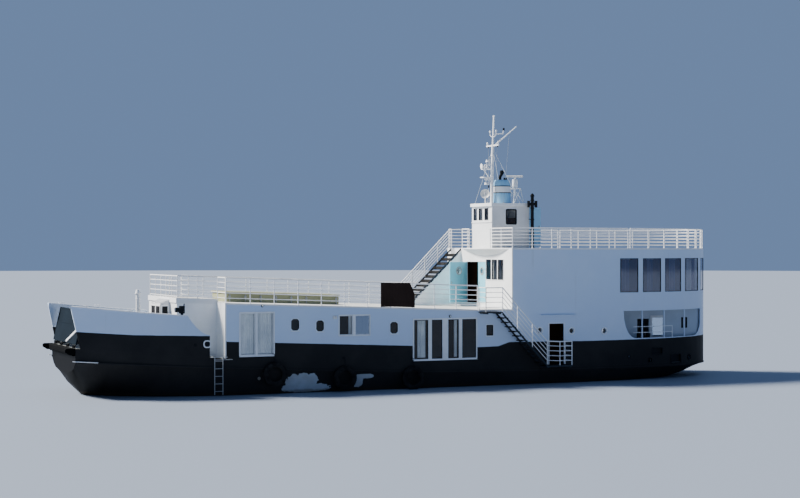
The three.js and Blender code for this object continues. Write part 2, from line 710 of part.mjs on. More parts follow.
// Bow-shaped corbel under the front edge of the roof
const corbel = { centre: 750, half: 2500, reach: 420, drop: 330 };
const corbelRings = evenly(-1, 1, 14).map((u) => {
  const w = Math.max(0.02, 1 - u * u);
  const y = corbel.centre + corbel.half * u;
  const [x0, z0] = [upperFront + gap, roofTop - 10];
  const out = x0 + corbel.reach * w;
  return [v3(x0, y, z0), v3(out, y, z0), v3(out, y, z0 - 45), v3(x0, y, z0 - 45 - corbel.drop * w)];
});
add("corbel", loft(corbelRings), "white");

// Wheelhouse
const { front, aft, half: houseHalf, wall, top: houseTop, roof: roofThick } = wheelhouse;
const [houseLow, houseHigh] = [roofTop + gap, houseTop - gap];
const bridgePanes = [[-930, -520], [-340, 80], [300, 730]];
add(
  "wheelhouse_front",
  cut(
    box(front - wall, front, -houseHalf, houseHalf, houseLow, houseHigh),
    bridgePanes.map(([y0, y1]) => box(front - 200, front + 200, y0, y1, 8050, 8650)),
  ),
  "white",
);
const houseSide = cut(
  box(aft, front - wall - gap, houseHalf - wall, houseHalf, houseLow, houseHigh),
  box(-5600, -5050, houseHalf - 200, houseHalf + 200, 7860, 8570),
);
add("wheelhouse_port", houseSide, "grey");
add("wheelhouse_starboard", toStarboard(houseSide), "grey");
const houseInside = houseHalf - wall - gap;
add(
  "wheelhouse_aft",
  join(
    cut(
      box(aft, aft + wall, -houseInside, houseInside, houseLow, houseHigh),
      box(aft - 50, aft + wall + 50, 330, 1023, roofTop + 60, roofTop + 60 + 1990),
    ),
    doorKnuckles(doorWheelhouse),
  ),
  "white",
);
add("door_wheelhouse", doorLeaf(doorWheelhouse), "blue");
const visorFront = [[front + 60, -1180], [front + 120, -650], [front + 120, 650], [front + 60, 1180]];
const visor = [[aft - 50, -1180], ...visorFront, [aft - 50, 1180]];
const topRoof = houseTop + roofThick;
add("wheelhouse_roof", prism("z", visor, houseTop, topRoof), "white");

// On the wheelhouse roof
const roofFoot = topRoof + gap;
const funnelX = -5380;
const funnel = turned([[0, 0], [460, 0], [425, 1060], [360, 1200], [0, 1200]], 24, [funnelX, 0, roofFoot]);
const uptakes = [
  rod([funnelX + 120, 0, roofFoot + 1150], [funnelX + 120, 0, roofFoot + 1380], 80, 12),
  rod([funnelX + 120, 0, roofFoot + 1360], [funnelX + 10, 0, roofFoot + 1530], 75, 12),
  rod([funnelX + 10, 0, roofFoot + 1500], [funnelX + 10, 0, roofFoot + 1700], 105, 12, 85),
  rod([funnelX - 150, 60, roofFoot + 1150], [funnelX - 150, 60, roofFoot + 1340], 85, 12),
];
add("funnel", join(funnel, uptakes), "blue");

const mastX = -4790;
const mastHead = [-4920, 0, 13315];
const yardAt = [-4855, 0, 11840];
const mastParts = [
  rod([mastX, 0, roofFoot], [mastX, 0, roofFoot + 40], 130, 10),
  rod([mastX, 0, roofFoot + 10], [yardAt[0], 0, 11900], 88, 10, 70),
  rod([yardAt[0], 0, yardAt[2]], mastHead, 52, 10, 44),
  turned([[0, -65], [65, -20], [65, 20], [0, 65]], 10, mastHead),
  box(yardAt[0] - 38, yardAt[0] + 38, -665, 665, yardAt[2] - 35, yardAt[2] + 35),
  rod([yardAt[0], 0, 11770], [-6200, 0, 12840], 40, 8, 28),
  rod([-4880, 0, 12420], [-5440, 0, 12470], 18, 6),
  rod([-5430, 0, 12440], [-5475, 0, 12640], 22, 6),
  box(mastX, mastX + 500, -200, 200, 10620, 10665),
  box(mastX, mastX + 560, -190, 190, 10200, 10245),
  rod([mastX + 40, 0, 10060], [mastX + 480, 0, 10640], 24, 6),
  rod([mastX + 230, 0, 10650], [mastX + 230, 0, 11120], 85, 10),
  box(mastX + 390, mastX + 470, -40, 40, 10650, 10800),
  rod([mastX + 400, 0, 10790], [mastX + 590, 0, 10790], 40, 10, 125),
  rod([mastX + 290, 0, 9850], [mastX + 290, 0, 10220], 95, 10),
];
const foot = (x, y, half) => box(x - half, x + half, y - half, y + half, roofFoot, roofFoot + 16);
const stayFeet = [[-4190, 700], [-4190, -700], [-5900, 950], [-5900, -950]];
const stays = stayFeet.map(([x, y]) =>
  join(foot(x, y, 30), rod([x, y, roofFoot + 8], [yardAt[0], 0, 11720], 9, 4)),
);
add("mast", join(mastParts, stays), "white");

const dishFoot = v3(-4400, 60, roofFoot);
const dishCentre = v3(-4370, 100, 9380);
const dishAxis = v3(0.58, 0.79, 0.2).normalize();
const alongDish = (distance) => dishCentre.clone().addScaledVector(dishAxis, distance).toArray();
const dish = join(
  rod(dishFoot.toArray(), [dishFoot.x, dishFoot.y, 9390], 30, 8),
  rod([dishFoot.x, dishFoot.y, 9380], alongDish(10), 45, 8),
  rod(alongDish(-10), alongDish(50), 140, 16, 235),
);
add("dish", dish, "white");

const radar = { x: -6120, z: 10200, half: 420 };
const stand = { x: 200, y: 560, topX: 180, topY: 350, top: 9660 };
const radarLegs = [[-1, -1], [-1, 1], [1, -1], [1, 1]].flatMap(([i, j]) => {
  const [x, y] = [radar.x + i * stand.x, j * stand.y];
  const [topX, topY] = [radar.x + i * (stand.topX - 30), j * (stand.topY - 30)];
  return [
    foot(x, y, 30),
    rod([x, y, roofFoot + 10], [topX, topY, stand.top + 10], 24, 4),
    rod([x, y, roofFoot + 12], [topX, -topY, stand.top + 5], 15, 4),
  ];
});
const radarBase = join(
  box(radar.x - stand.topX, radar.x + stand.topX, -stand.topY, stand.topY, stand.top, stand.top + 40),
  rod([radar.x, 0, stand.top + 30], [radar.x, 0, radar.z - 50], 145, 14),
  rod([radar.x, 0, radar.z - 60], [radar.x, 0, radar.z], 55, 12),
);
add("radar_stand", join(radarLegs, radarBase), "white");
const scannerTurn = new THREE.Matrix4()
  .makeRotationZ(THREE.MathUtils.degToRad(55))
  .setPosition(radar.x, 0, radar.z);
const scannerBar = box(-60, 60, -radar.half, radar.half, 55, 145);
const scanner = join(rod([0, 0, gap], [0, 0, 90], 55, 12), scannerBar);
add("radar_scanner", placed(scanner, scannerTurn), "white");

const stove = { x: -6400, y: 1330 };
const stovePipe = join(
  rod([stove.x, stove.y, roofTop + gap], [stove.x, stove.y, 9000], 68, 12),
  rod([stove.x, stove.y, roofTop + gap], [stove.x, stove.y, roofTop + 40], 120, 12),
  rod([stove.x - 210, stove.y, 8860], [stove.x + 210, stove.y, 8860], 62, 10),
  [-210, 210].map((x) => rod([stove.x + x, stove.y, 8700], [stove.x + x, stove.y, 9020], 72, 10)),
  rod([stove.x, stove.y, 8990], [stove.x, stove.y, 9250], 90, 10),
  rod([stove.x, stove.y, 9240], [stove.x, stove.y, 9400], 105, 10, 40),
);
add("stovepipe", stovePipe, "black");

// Railings of the roof
const onRoof = () => roofTop + gap;
const edge = halfBeam - railInset;
const roofFrontX = upperFront - railInset;
const stairs = { outer: -3200, inner: -2000 };
const roofRailing = (corners) => railing(footPath(corners, onRoof), roofRail);
const roofPort = [[roofFrontX, 1180], [roofFrontX, edge], [sternStart, edge]];
const roofStarboard = [[sternStart, -edge], [roofFrontX, -edge], [roofFrontX, stairs.outer - 30]];
add("rail_roof_port", roofRailing(roofPort), "white");
add("rail_roof_starboard", roofRailing(roofStarboard), "white");
add("rail_roof_inner", roofRailing([[roofFrontX, stairs.inner + 30], [roofFrontX, -1180]]), "white");
const arcFeet = evenly(1.1, 178.9, 12).map((a) => [...sternPoint(a, railInset), roofTop + gap]);
add("rail_roof_stern", railing(arcFeet, roofRail), "white");

// Railings of the front deck and the front house
const landing = { front: -2200, aft: -3120, z: 3600 };
const railFront = bowStart - railInset;
const deckRailing = (corners, floorAt) => railing(footPath(corners, onUpperDeck, floorAt), deckRail);
const deckStarboard = [[railFront, -edge], [upperFront + 70, -edge]];
add("rail_deck_port", deckRailing([[railFront, edge], [landing.front, edge]]), "white");
add("rail_deck_starboard", deckRailing(deckStarboard), "white");
const [houseRailX, houseRailY] = [frontHouse - 50, frontHouseHalf - 50];
const frontRailPath = [
  [railFront, edge - 60],
  [railFront, houseRailY],
  [houseRailX, houseRailY],
  [houseRailX, -houseRailY],
  [railFront, -houseRailY],
  [railFront, 60 - edge],
];
const houseFloor = (x) => (x > bowStart ? houseRise : 0);
add("rail_front_house", deckRailing(frontRailPath, houseFloor), "white");

// Stairs: two stringers and treads between them, from a head point down to a foot point along x
function flight(head, foot, y0, y1, steps, deep) {
  const [[x0, z0], [x1, z1]] = [head, foot];
  const way = Math.sign(x1 - x0);
  const outline = [[x0, z0], [x0, z0 - deep], [x1 - way * deep * 0.6, z1], [x1 + way * deep * 0.4, z1]];
  const stringers = [[y0, y0 + 35], [y1 - 35, y1]].map(([a, b]) => prism("y", outline, a, b));
  const treads = evenly(1 / (steps + 1), steps / (steps + 1), steps - 1).map((u) => {
    const [x, z] = [x0 + (x1 - x0) * u, z0 - 60 + (z1 - z0) * u];
    return box(x - 125, x + 125, y0 + 20, y1 - 20, z - 35, z);
  });
  return join(stringers, treads);
}
const stringer = 110;
const roofFlight = { head: [upperFront + gap, 6640], foot: [-1050, onUpperDeck(-1050, 400)] };
const [[flightHeadX], [flightFootX]] = [roofFlight.head, roofFlight.foot];
const roofFlightFeet = evenly(0, 1, 4).map((u) => {
  const x = flightHeadX + 50 + (flightFootX - flightHeadX - 90) * u;
  const z = roofFlight.head[1] + (roofFlight.foot[1] - roofFlight.head[1]) * u;
  return [x, stairs.outer + 18, z + 30, u < 1 ? 0 : 60];
});
const starboardFlight = flight(roofFlight.head, roofFlight.foot, stairs.outer, stairs.inner, 12, stringer);
add("stairs_starboard", join(starboardFlight, railing(roofFlightFeet, roofRail, 90)), "white");
const panelFoot = onUpperDeck(-1400, 0);
const panel = [
  [upperFront + gap, panelFoot],
  [-1400, panelFoot],
  [-1400, 3970],
  [upperFront + gap, 6510],
];
add("stair_panel", prism("y", panel, stairs.inner + gap, stairs.inner + 25), "white");

const hullOff = halfBeam + gap;
const platform = { front: -5560, aft: -6960, z: 950 };
const outer = 4400;
const stairRail = { height: 1180, bars: 5 };
const outerRail = outer - 20;
const walkRails = [
  [landing.front - 30, outerRail, landing.z],
  [landing.aft, outerRail, landing.z],
  [-3930, outerRail, 2720],
  [-4740, outerRail, 1838],
  [platform.front, outerRail, platform.z + 40],
  [-6260, outerRail, platform.z],
  [platform.aft + 30, outerRail, platform.z],
  [platform.aft + 30, 3700, platform.z],
];
const headRail = [[landing.front - 30, 3650, landing.z], [landing.front - 30, outer - 60, landing.z]];
const [flightHead, flightFoot] = [
  [landing.aft + 20, landing.z - 5],
  [platform.front - 20, platform.z - 10],
];
const brackets = [platform.aft + 100, platform.front - 100].map((x) =>
  box(x - 40, x + 40, hullOff, 3700, platform.z - 55, platform.z - 5),
);
const walkway = join(
  box(landing.aft, landing.front, hullOff, outer, landing.z - 60, landing.z),
  flight(flightHead, flightFoot, 3660, outer, 11, stringer),
  box(platform.aft, platform.front + 60, 3665, outer, platform.z - 60, platform.z),
  brackets,
  railing(walkRails, stairRail, 55),
  railing(headRail, stairRail, 30),
);
add("stairs_port", walkway, "white");

// Boarding ladder in the gap of the port bulwark
const ladderY = 3800;
const ladderRails = [10640, 11020].map((x) =>
  join(
    rod([x, ladderY, 100], [x, ladderY, 1800], 18, 4),
    box(x - 18, x + 18, 3350, ladderY + 15, onMainDeck(x, 18), onMainDeck(x, 18) + 35),
  ),
);
const rungs = evenly(250, 1600, 4).map((z) => rod([10640, ladderY, z], [11020, ladderY, z], 13, 4));
add("ladder", join(ladderRails, rungs), "grey");

// On the front deck
function deckBlock(x0, x1, y0, y1, foot, rise) {
  return loft(
    [x0, x1].map((x) => {
      const low = levelAt(upperDeck, x) + foot;
      return [v3(x, y1, low), v3(x, y1, low + rise), v3(x, y0, low + rise), v3(x, y0, low)];
    }),
  );
}
const coaming = deckBlock(4000, 9600, -1100, 1100, gap, 400);
add("hatch", join(coaming, deckBlock(3950, 9650, -1150, 1150, 395, 60)), "olive");
const screenY = edge + postSize / 2 + gap;
const screenFoot = levelAt(upperDeck, 2870) + gap;
const screen = [[1126, screenFoot], [2870, screenFoot], [2870, 5030], [1370, 5010], [1126, 4450]];
add("screen", prism("y", screen, screenY, screenY + 25), "brown");

// On the foredeck
const vent = { x: 13640, y: 500 };
add(
  "foredeck_vent",
  join(
    rod([vent.x, vent.y, onMainDeck(vent.x, 98)], [vent.x, vent.y, 4560], 100, 14),
    rod([vent.x, vent.y, 4540], [vent.x, vent.y, 4740], 135, 14, 90),
  ),
  "white",
);
const hoodAt = { front: 12800, starboard: -300, port: 1280, low: 4110, high: 4300 };
const hoodFoot = onMainDeck(hoodAt.front, 0);
const hood = [
  [frontHouse + gap, hoodFoot],
  [hoodAt.front, hoodFoot],
  [hoodAt.front, hoodAt.low],
  [houseRoofEnd + gap, hoodAt.high],
  [houseRoofEnd + gap, 4165],
  [frontHouse + gap, 4165],
];
add("hood", prism("y", hood, hoodAt.starboard, hoodAt.port), "grey");
const lampAt = { x: 12430, y: 3452, z: 3900, stem: 62, radius: 135 };
const lampFoot = wingTopAt(lampAt.x + lampAt.stem) + gap;
const lamp = join(
  rod([lampAt.x, lampAt.y, lampFoot], [lampAt.x, lampAt.y, 3760], lampAt.stem, 10),
  rod([lampAt.x, lampAt.y, 3740], [lampAt.x, lampAt.y, 4075], lampAt.radius, 14),
  rod([lampAt.x, lampAt.y, lampAt.z], [lampAt.x + 300, lampAt.y, lampAt.z], 95, 12, 115),
  rod([lampAt.x - 90, lampAt.y, 4060], [lampAt.x - 110, lampAt.y, 4170], 24, 6),
);
add("bulwark_lamp", lamp, "black");

// Tyres hung along the side as fenders: x, z
const tyres = [[8170, 920], [4750, 650], [1300, 540]];
const tyreSection = [[420, -110], [570, -75], [570, 75], [420, 110], [320, 60], [320, -60]];
const tyreY = halfBeam + strakeProud + gap + 110;
function tyre(x, z, side) {
  const rings = evenly(0, 360, 16).slice(0, -1).map((degrees) => {
    const a = THREE.MathUtils.degToRad(degrees);
    return tyreSection.map(([r, y]) => v3(x + r * Math.cos(a), side * (tyreY + y), z + r * Math.sin(a)));
  });
  return loft(rings, true);
}
tyres.forEach(([x, z], i) => {
  add(`tyre_port_${i + 1}`, tyre(x, z, 1), "rubber");
  add(`tyre_starboard_${i + 1}`, tyre(x, z, -1), "rubber");
});

// Screw: a hub with blades lofted from root to tip
const hub = turned([[0, 0], [150, 0], [150, 330], [110, 420], [0, 470]], 16, [0, 0, 0]);
// Blade sections: radius, pitch in degrees, chord and thickness
const bladeSections = [[80, 42, 190, 40], [300, 34, 300, 26], [520, 26, 340, 16], [screwRadius, 22, 180, 8]];
const blade = loft(
  bladeSections.map(([r, pitch, chord, thick]) => {
    const a = THREE.MathUtils.degToRad(pitch);
    const [c, s] = [(Math.cos(a) * chord) / 2, (Math.sin(a) * chord) / 2];
    const [p, q] = [(Math.sin(a) * thick) / 2, (Math.cos(a) * thick) / 2];
    return [v3(c, r, 190 + s), v3(-p, r, 190 + q), v3(-c, r, 190 - s), v3(p, r, 190 - q)];
  }),
);
const blades = evenly(0, 270, bladeCount - 1).map((degrees) =>
  placed(blade, new THREE.Matrix4().makeRotationZ(THREE.MathUtils.degToRad(degrees))),
);
const shaftAft = new THREE.Matrix4()
  .makeBasis(v3(0, 1, 0), v3(0, 0, -1), v3(-1, 0, 0))
  .setPosition(bossEnd - gap, 0, shaftZ);
add("propeller", placed(join(hub, blades), shaftAft), "bronze");

// Rudder between its boss and the heel
const foilHalf = [[-14330, 55], [-14600, 70], [-15250, 12]];
const foil = [[-14250, 0], ...foilHalf, ...foilHalf.map(([x, y]) => [x, -y]).reverse()];
const rudder = join(
  prism("z", foil, -2060, -560),
  rod([rudderX, 0, heelTop + gap], [rudderX, 0, rudderBossZ - gap], 78, 12),
);
add("rudder", rudder, "black");

export default ship;
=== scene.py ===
import json
import math

import bpy
from mathutils import Matrix, Vector

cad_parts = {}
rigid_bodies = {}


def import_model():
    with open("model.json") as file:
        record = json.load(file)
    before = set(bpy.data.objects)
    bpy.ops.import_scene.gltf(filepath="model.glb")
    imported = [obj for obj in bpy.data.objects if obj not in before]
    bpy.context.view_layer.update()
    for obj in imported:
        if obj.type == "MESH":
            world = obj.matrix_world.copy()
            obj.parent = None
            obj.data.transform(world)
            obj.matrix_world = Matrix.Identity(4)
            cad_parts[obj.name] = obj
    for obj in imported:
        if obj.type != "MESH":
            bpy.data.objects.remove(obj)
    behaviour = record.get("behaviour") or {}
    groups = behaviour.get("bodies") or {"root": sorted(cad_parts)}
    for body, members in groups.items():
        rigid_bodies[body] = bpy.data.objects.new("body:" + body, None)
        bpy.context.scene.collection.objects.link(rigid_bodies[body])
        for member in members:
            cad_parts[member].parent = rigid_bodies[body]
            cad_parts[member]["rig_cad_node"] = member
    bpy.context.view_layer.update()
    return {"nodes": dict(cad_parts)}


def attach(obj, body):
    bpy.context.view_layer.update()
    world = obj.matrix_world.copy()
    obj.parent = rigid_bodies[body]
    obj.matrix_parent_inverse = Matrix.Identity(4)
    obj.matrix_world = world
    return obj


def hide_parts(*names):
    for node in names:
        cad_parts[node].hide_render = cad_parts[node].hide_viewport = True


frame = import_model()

print("frame loaded:", len(frame["nodes"]), "nodes")


# Small tools for modelling

mergeDistance = 0.0002


def pick(*chosen):
    if bpy.context.mode != "OBJECT":
        bpy.ops.object.mode_set(mode="OBJECT")
    bpy.ops.object.select_all(action="DESELECT")
    for one in chosen:
        one.select_set(True)
    if chosen:
        bpy.context.view_layer.objects.active = chosen[0]


def settle(piece):
    pick(piece)
    bpy.ops.object.transform_apply(location=True, rotation=True, scale=True)
    return piece


def shape(piece, kind, **settings):
    modifier = piece.modifiers.new(kind.lower(), kind)
    for key, value in settings.items():
        setattr(modifier, key, value)
    pick(piece)
    bpy.ops.object.modifier_apply(modifier=modifier.name)
    return piece


def smooth(piece, angle=35):
    pick(piece)
    bpy.ops.object.shade_smooth_by_angle(angle=math.radians(angle))
    return piece


def named(piece, name):
    piece.name = name
    piece.data.name = name
    return piece


def outwards(piece, merge=True):
    pick(piece)
    bpy.ops.object.mode_set(mode="EDIT")
    bpy.ops.mesh.select_all(action="SELECT")
    if merge:
        bpy.ops.mesh.remove_doubles(threshold=mergeDistance)
    bpy.ops.mesh.normals_make_consistent(inside=False)
    bpy.ops.object.mode_set(mode="OBJECT")
    return piece


def block(low, high, edge=0.006):
    pick()
    centre = [(a + b) / 2 for a, b in zip(low, high)]
    bpy.ops.mesh.primitive_cube_add(size=1, location=centre)
    piece = bpy.context.object
    piece.scale = [b - a for a, b in zip(low, high)]
    settle(piece)
    if edge:
        shape(piece, "BEVEL", width=edge, segments=2)
    return piece


# Round piece drawn from its foot up by extruding the top of a cone: profile is radius and height.
# A ring is drawn from an open cone, and closes on its first point.
def turned(profile, at=(0, 0, 0), sides=32, towards=(0, 0, 1), smoothAngle=35, ring=False):
    pick()
    points = [*profile, profile[0]] if ring else profile
    (r0, h0), (r1, h1) = points[:2]
    middle = (h0 + h1) / 2
    bpy.ops.mesh.primitive_cone_add(vertices=sides, radius1=r0, radius2=r1, depth=h1 - h0,
                                    end_fill_type="NOTHING" if ring else "NGON", location=(0, 0, middle))
    piece = settle(bpy.context.object)
    bpy.context.tool_settings.mesh_select_mode = (True, False, False)
    mesh = piece.data
    upper = [vertex.co.z > middle for vertex in mesh.vertices]
    for vertex, chosen in zip(mesh.vertices, upper):
        vertex.select = chosen
    for part in (*mesh.edges, *mesh.polygons):
        part.select = all(upper[i] for i in part.vertices)
    bpy.ops.object.mode_set(mode="EDIT")
    radius, height = r1, h1
    for r, h in points[2:]:
        bpy.ops.mesh.extrude_region_move(TRANSFORM_OT_translate={"value": (0, 0, h - height)})
        bpy.ops.transform.resize(value=(r / radius, r / radius, 1), center_override=(0, 0, h))
        radius, height = r, h
    bpy.ops.object.mode_set(mode="OBJECT")
    outwards(piece)
    turn = Vector((0, 0, 1)).rotation_difference(Vector(towards).normalized()).to_matrix().to_4x4()
    piece.matrix_world = Matrix.Translation(Vector(at)) @ turn
    settle(piece)
    return smooth(piece, smoothAngle)


# Curve with a straight-sided spline through each line of points
def drawn(lines, closed=False):
    pick()
    bpy.ops.curve.primitive_bezier_curve_add(location=(0, 0, 0))
    piece = bpy.context.object
    piece.data.splines.clear()
    for line in lines:
        spline = piece.data.splines.new("POLY")
        spline.points.add(len(line) - 1)
        for point, place in zip(spline.points, line):
            point.co = (*place, 1)
        spline.use_cyclic_u = closed
    return piece


def meshed(piece):
    pick(piece)
    bpy.ops.object.convert(target="MESH")
    return bpy.context.object


# Round bars along lines of points
def bars(lines, radius, sides=3):
    piece = drawn(lines)
    curve = piece.data
    curve.bevel_depth = radius
    curve.bevel_resolution = sides - 1
    curve.use_fill_caps = True
    return smooth(meshed(piece), 40)


# Flat piece from outlines in its own plane; outlines inside the first are holes
def cutPlate(outlines, thick, place, edge=0):
    piece = drawn([[(a, b, 0) for a, b in outline] for outline in outlines], True)
    curve = piece.data
    curve.dimensions = "2D"
    curve.fill_mode = "BOTH"
    curve.extrude = thick / 2
    piece = meshed(piece)
    piece.matrix_world = place
    outwards(settle(piece))
    if edge:
        shape(piece, "BEVEL", width=edge, segments=2, limit_method="ANGLE", angle_limit=math.radians(50))
    return piece


# Plane of a wall: x runs along it, y up and z inwards, with its outside to the left of the way it runs
def onWall(at, along):
    ax, ay = Vector((along[0], along[1])).normalized()
    turn = Matrix(((ax, 0, ay, 0), (ay, 0, -ax, 0), (0, 1, 0, 0), (0, 0, 0, 1)))
    return Matrix.Translation(Vector(at)) @ turn


portSide = onWall((0, 3.6, 0), (1, 0))


# Plate on a wall, between two depths measured inwards from its face
def wallPlate(place, outlines, outer, inner, edge=0):
    return cutPlate(outlines, inner - outer, place @ Matrix.Translation((0, 0, (outer + inner) / 2)), edge)


def rounded(a0, a1, b0, b1, radius=0.0, steps=4):
    if not radius:
        return [(a0, b0), (a1, b0), (a1, b1), (a0, b1)]
    centres = ((a1 - radius, b0 + radius, -90), (a1 - radius, b1 - radius, 0),
               (a0 + radius, b1 - radius, 90), (a0 + radius, b0 + radius, 180))
    return [(a + radius * math.cos(math.radians(start + 90 * i / steps)),
             b + radius * math.sin(math.radians(start + 90 * i / steps)))
            for a, b, start in centres for i in range(steps + 1)]


def joined(name, parts):
    parts = list(parts)
    pick(*parts)
    if len(parts) > 1:
        bpy.ops.object.join()
    return named(bpy.context.view_layer.objects.active, name)


def copied(piece, matrix):
    pick(piece)
    bpy.ops.object.duplicate()
    twin = bpy.context.object
    twin.matrix_world = matrix
    return settle(twin)


def mirrored(piece, name):
    twin = copied(piece, Matrix.Scale(-1, 4, (0, 1, 0)))
    return outwards(named(twin, name), False)


def moved(x, y, z):
    return Matrix.Translation((x, y, z))


def rotated(degrees, axis="Z"):
    return Matrix.Rotation(math.radians(degrees), 4, axis)


# Small tools for materials

def put(tree, kind, inputs=None, **settings):
    made = tree.nodes.new("ShaderNode" + kind)
    for key, value in settings.items():
        setattr(made, key, value)
    for key, value in (inputs or {}).items():
        if isinstance(value, bpy.types.NodeSocket):
            tree.links.new(value, made.inputs[key])
        else:
            made.inputs[key].default_value = value
    return made


# A colour of three numbers is given its fourth here
def mixed(tree, factor, first, second):
    first, second = ((*end, 1) if isinstance(end, (tuple, list)) else end for end in (first, second))
    return put(tree, "Mix", {0: factor, 6: first, 7: second}, data_type="RGBA").outputs[2]


def sums(tree, how, first, second=0.0, clamp=False):
    return put(tree, "Math", {0: first, 1: second}, operation=how, use_clamp=clamp).outputs[0]


# A colour laid over another where a mask shows it, up to a share
def laid(tree, mask, share, under, over):
    return mixed(tree, sums(tree, "MULTIPLY", mask, share), under, over)


def ranged(tree, value, low, high, toLow=0.0, toHigh=1.0, gentle=True):
    kind = "SMOOTHSTEP" if gentle else "LINEAR"
    node = put(tree, "MapRange", {"Value": value, "From Min": low, "From Max": high,
                                  "To Min": toLow, "To Max": toHigh}, interpolation_type=kind)
    return node.outputs["Result"]


def objectPlace(tree):
    return put(tree, "TexCoord").outputs["Object"]


def splitUp(tree, vector):
    return put(tree, "SeparateXYZ", {0: vector}).outputs


# How far a face looks along an axis: 0 ahead, 1 to port, 2 up
def facing(tree, axis):
    return splitUp(tree, put(tree, "NewGeometry").outputs["Normal"])[axis]


def noiseOf(tree, vector, scale, detail=1.0, **more):
    return put(tree, "TexNoise", {"Vector": vector, "Scale": scale, "Detail": detail, **more}).outputs[0]


def newGroup(name, ins, outs):
    group = bpy.data.node_groups.new(name, "ShaderNodeTree")
    for label, kind, value in ins:
        socket = group.interface.new_socket(label, in_out="INPUT", socket_type="NodeSocket" + kind)
        if value is not None:
            socket.default_value = value
    for label, kind in outs:
        group.interface.new_socket(label, in_out="OUTPUT", socket_type="NodeSocket" + kind)
    return group, group.nodes.new("NodeGroupInput").outputs, group.nodes.new("NodeGroupOutput").inputs


# Runs of dirt or rust down an upright surface
streaks, given, sent = newGroup("streaks", [("Vector", "Vector", None), ("Scale", "Float", 3.0),
                                            ("Cover", "Float", 0.5)], [("Mask", "Float")])
narrow = put(streaks, "CombineXYZ", {0: given["Scale"], 1: given["Scale"],
                                     2: sums(streaks, "MULTIPLY", given["Scale"], 0.07)}).outputs[0]
stretched = put(streaks, "VectorMath", {0: given["Vector"], 1: narrow}, operation="MULTIPLY").outputs[0]
fine = noiseOf(streaks, stretched, 1.0, 5.0, Roughness=0.6)
broad = noiseOf(streaks, given["Vector"], 0.45, 3.0)
start = sums(streaks, "SUBTRACT", 0.78, sums(streaks, "MULTIPLY", given["Cover"], 0.34))
runs = ranged(streaks, fine, start, sums(streaks, "ADD", start, 0.16))
streaks.links.new(sums(streaks, "MULTIPLY", runs, ranged(streaks, broad, 0.38, 0.66)), sent["Mask"])

# Soft blotches of dust and fading
blotches, given, sent = newGroup("blotches", [("Vector", "Vector", None), ("Scale", "Float", 1.0)],
                                 [("Mask", "Float")])
noise = noiseOf(blotches, given["Vector"], given["Scale"], 6.0, Roughness=0.62)
blotches.links.new(ranged(blotches, noise, 0.36, 0.68), sent["Mask"])

# Small spots where paint has come off
chips, given, sent = newGroup("chips", [("Vector", "Vector", None), ("Scale", "Float", 5.0),
                                        ("Cover", "Float", 0.3)], [("Mask", "Float")])
small = noiseOf(chips, given["Vector"], given["Scale"], 9.0, Roughness=0.7)
where = noiseOf(chips, given["Vector"], 0.6, 2.0)
edge = sums(chips, "SUBTRACT", 0.80, sums(chips, "MULTIPLY", given["Cover"], 0.2))
spots = ranged(chips, small, edge, sums(chips, "ADD", edge, 0.02))
chips.links.new(sums(chips, "MULTIPLY", spots, ranged(chips, where, 0.45, 0.6)), sent["Mask"])

# Height of welded plates: thin seams at even spacings, and plates a little buckled between them
plates, given, sent = newGroup("plates", [("Vector", "Vector", None), ("Length", "Float", 2.4),
                                          ("Height", "Float", 1.5), ("Buckle", "Float", 0.5)],
                               [("Height", "Float"), ("Seam", "Float")])
split = splitUp(plates, given["Vector"])
seams = []
for axis, spacing in ((0, "Length"), (2, "Height")):
    halfway = sums(plates, "MULTIPLY", given[spacing], 0.5)
    away = sums(plates, "PINGPONG", split[axis], halfway)
    seams.append(ranged(plates, away, 0.006, 0.016, 1.0, 0.0))
seam = sums(plates, "MAXIMUM", *seams)
buckle = noiseOf(plates, given["Vector"], 0.9)
lifted = sums(plates, "MULTIPLY", buckle, given["Buckle"])
plates.links.new(sums(plates, "ADD", lifted, sums(plates, "MULTIPLY", seam, 0.35)), sent["Height"])
plates.links.new(seam, sent["Seam"])


def newMaterial(name, colour=(0.5, 0.5, 0.5), roughness=0.5, metallic=0.0):
    material = bpy.data.materials.new(name)
    material.use_nodes = True
    material.diffuse_color = (*colour[:3], 1)
    tree = material.node_tree
    shader = tree.nodes["Principled BSDF"]
    shader.inputs["Base Color"].default_value = (*colour[:3], 1)
    shader.inputs["Roughness"].default_value = roughness
    shader.inputs["Metallic"].default_value = metallic
    return material, tree, shader


def useGroup(tree, group, **inputs):
    node = tree.nodes.new("ShaderNodeGroup")
    node.node_tree = group
    for key, value in inputs.items():
        if isinstance(value, bpy.types.NodeSocket):
            tree.links.new(value, node.inputs[key])
        else:
            node.inputs[key].default_value = value
    return node.outputs


def bumped(tree, shader, height, strength=0.3, distance=0.01):
    bump = put(tree, "Bump", {"Height": height, "Strength": strength, "Distance": distance})
    tree.links.new(bump.outputs[0], shader.inputs["Normal"])


# Plain painted steel: a colour with fading, runs of dirt, rust where it has chipped, and an uneven skin

paintWear = {"shine": 0.5, "darkShine": 0.03, "darkBelow": 0.1, "fade": 1.12, "fadeMost": 0.01,
             "rust": (0.16, 0.055, 0.022), "rustShare": 0.9}


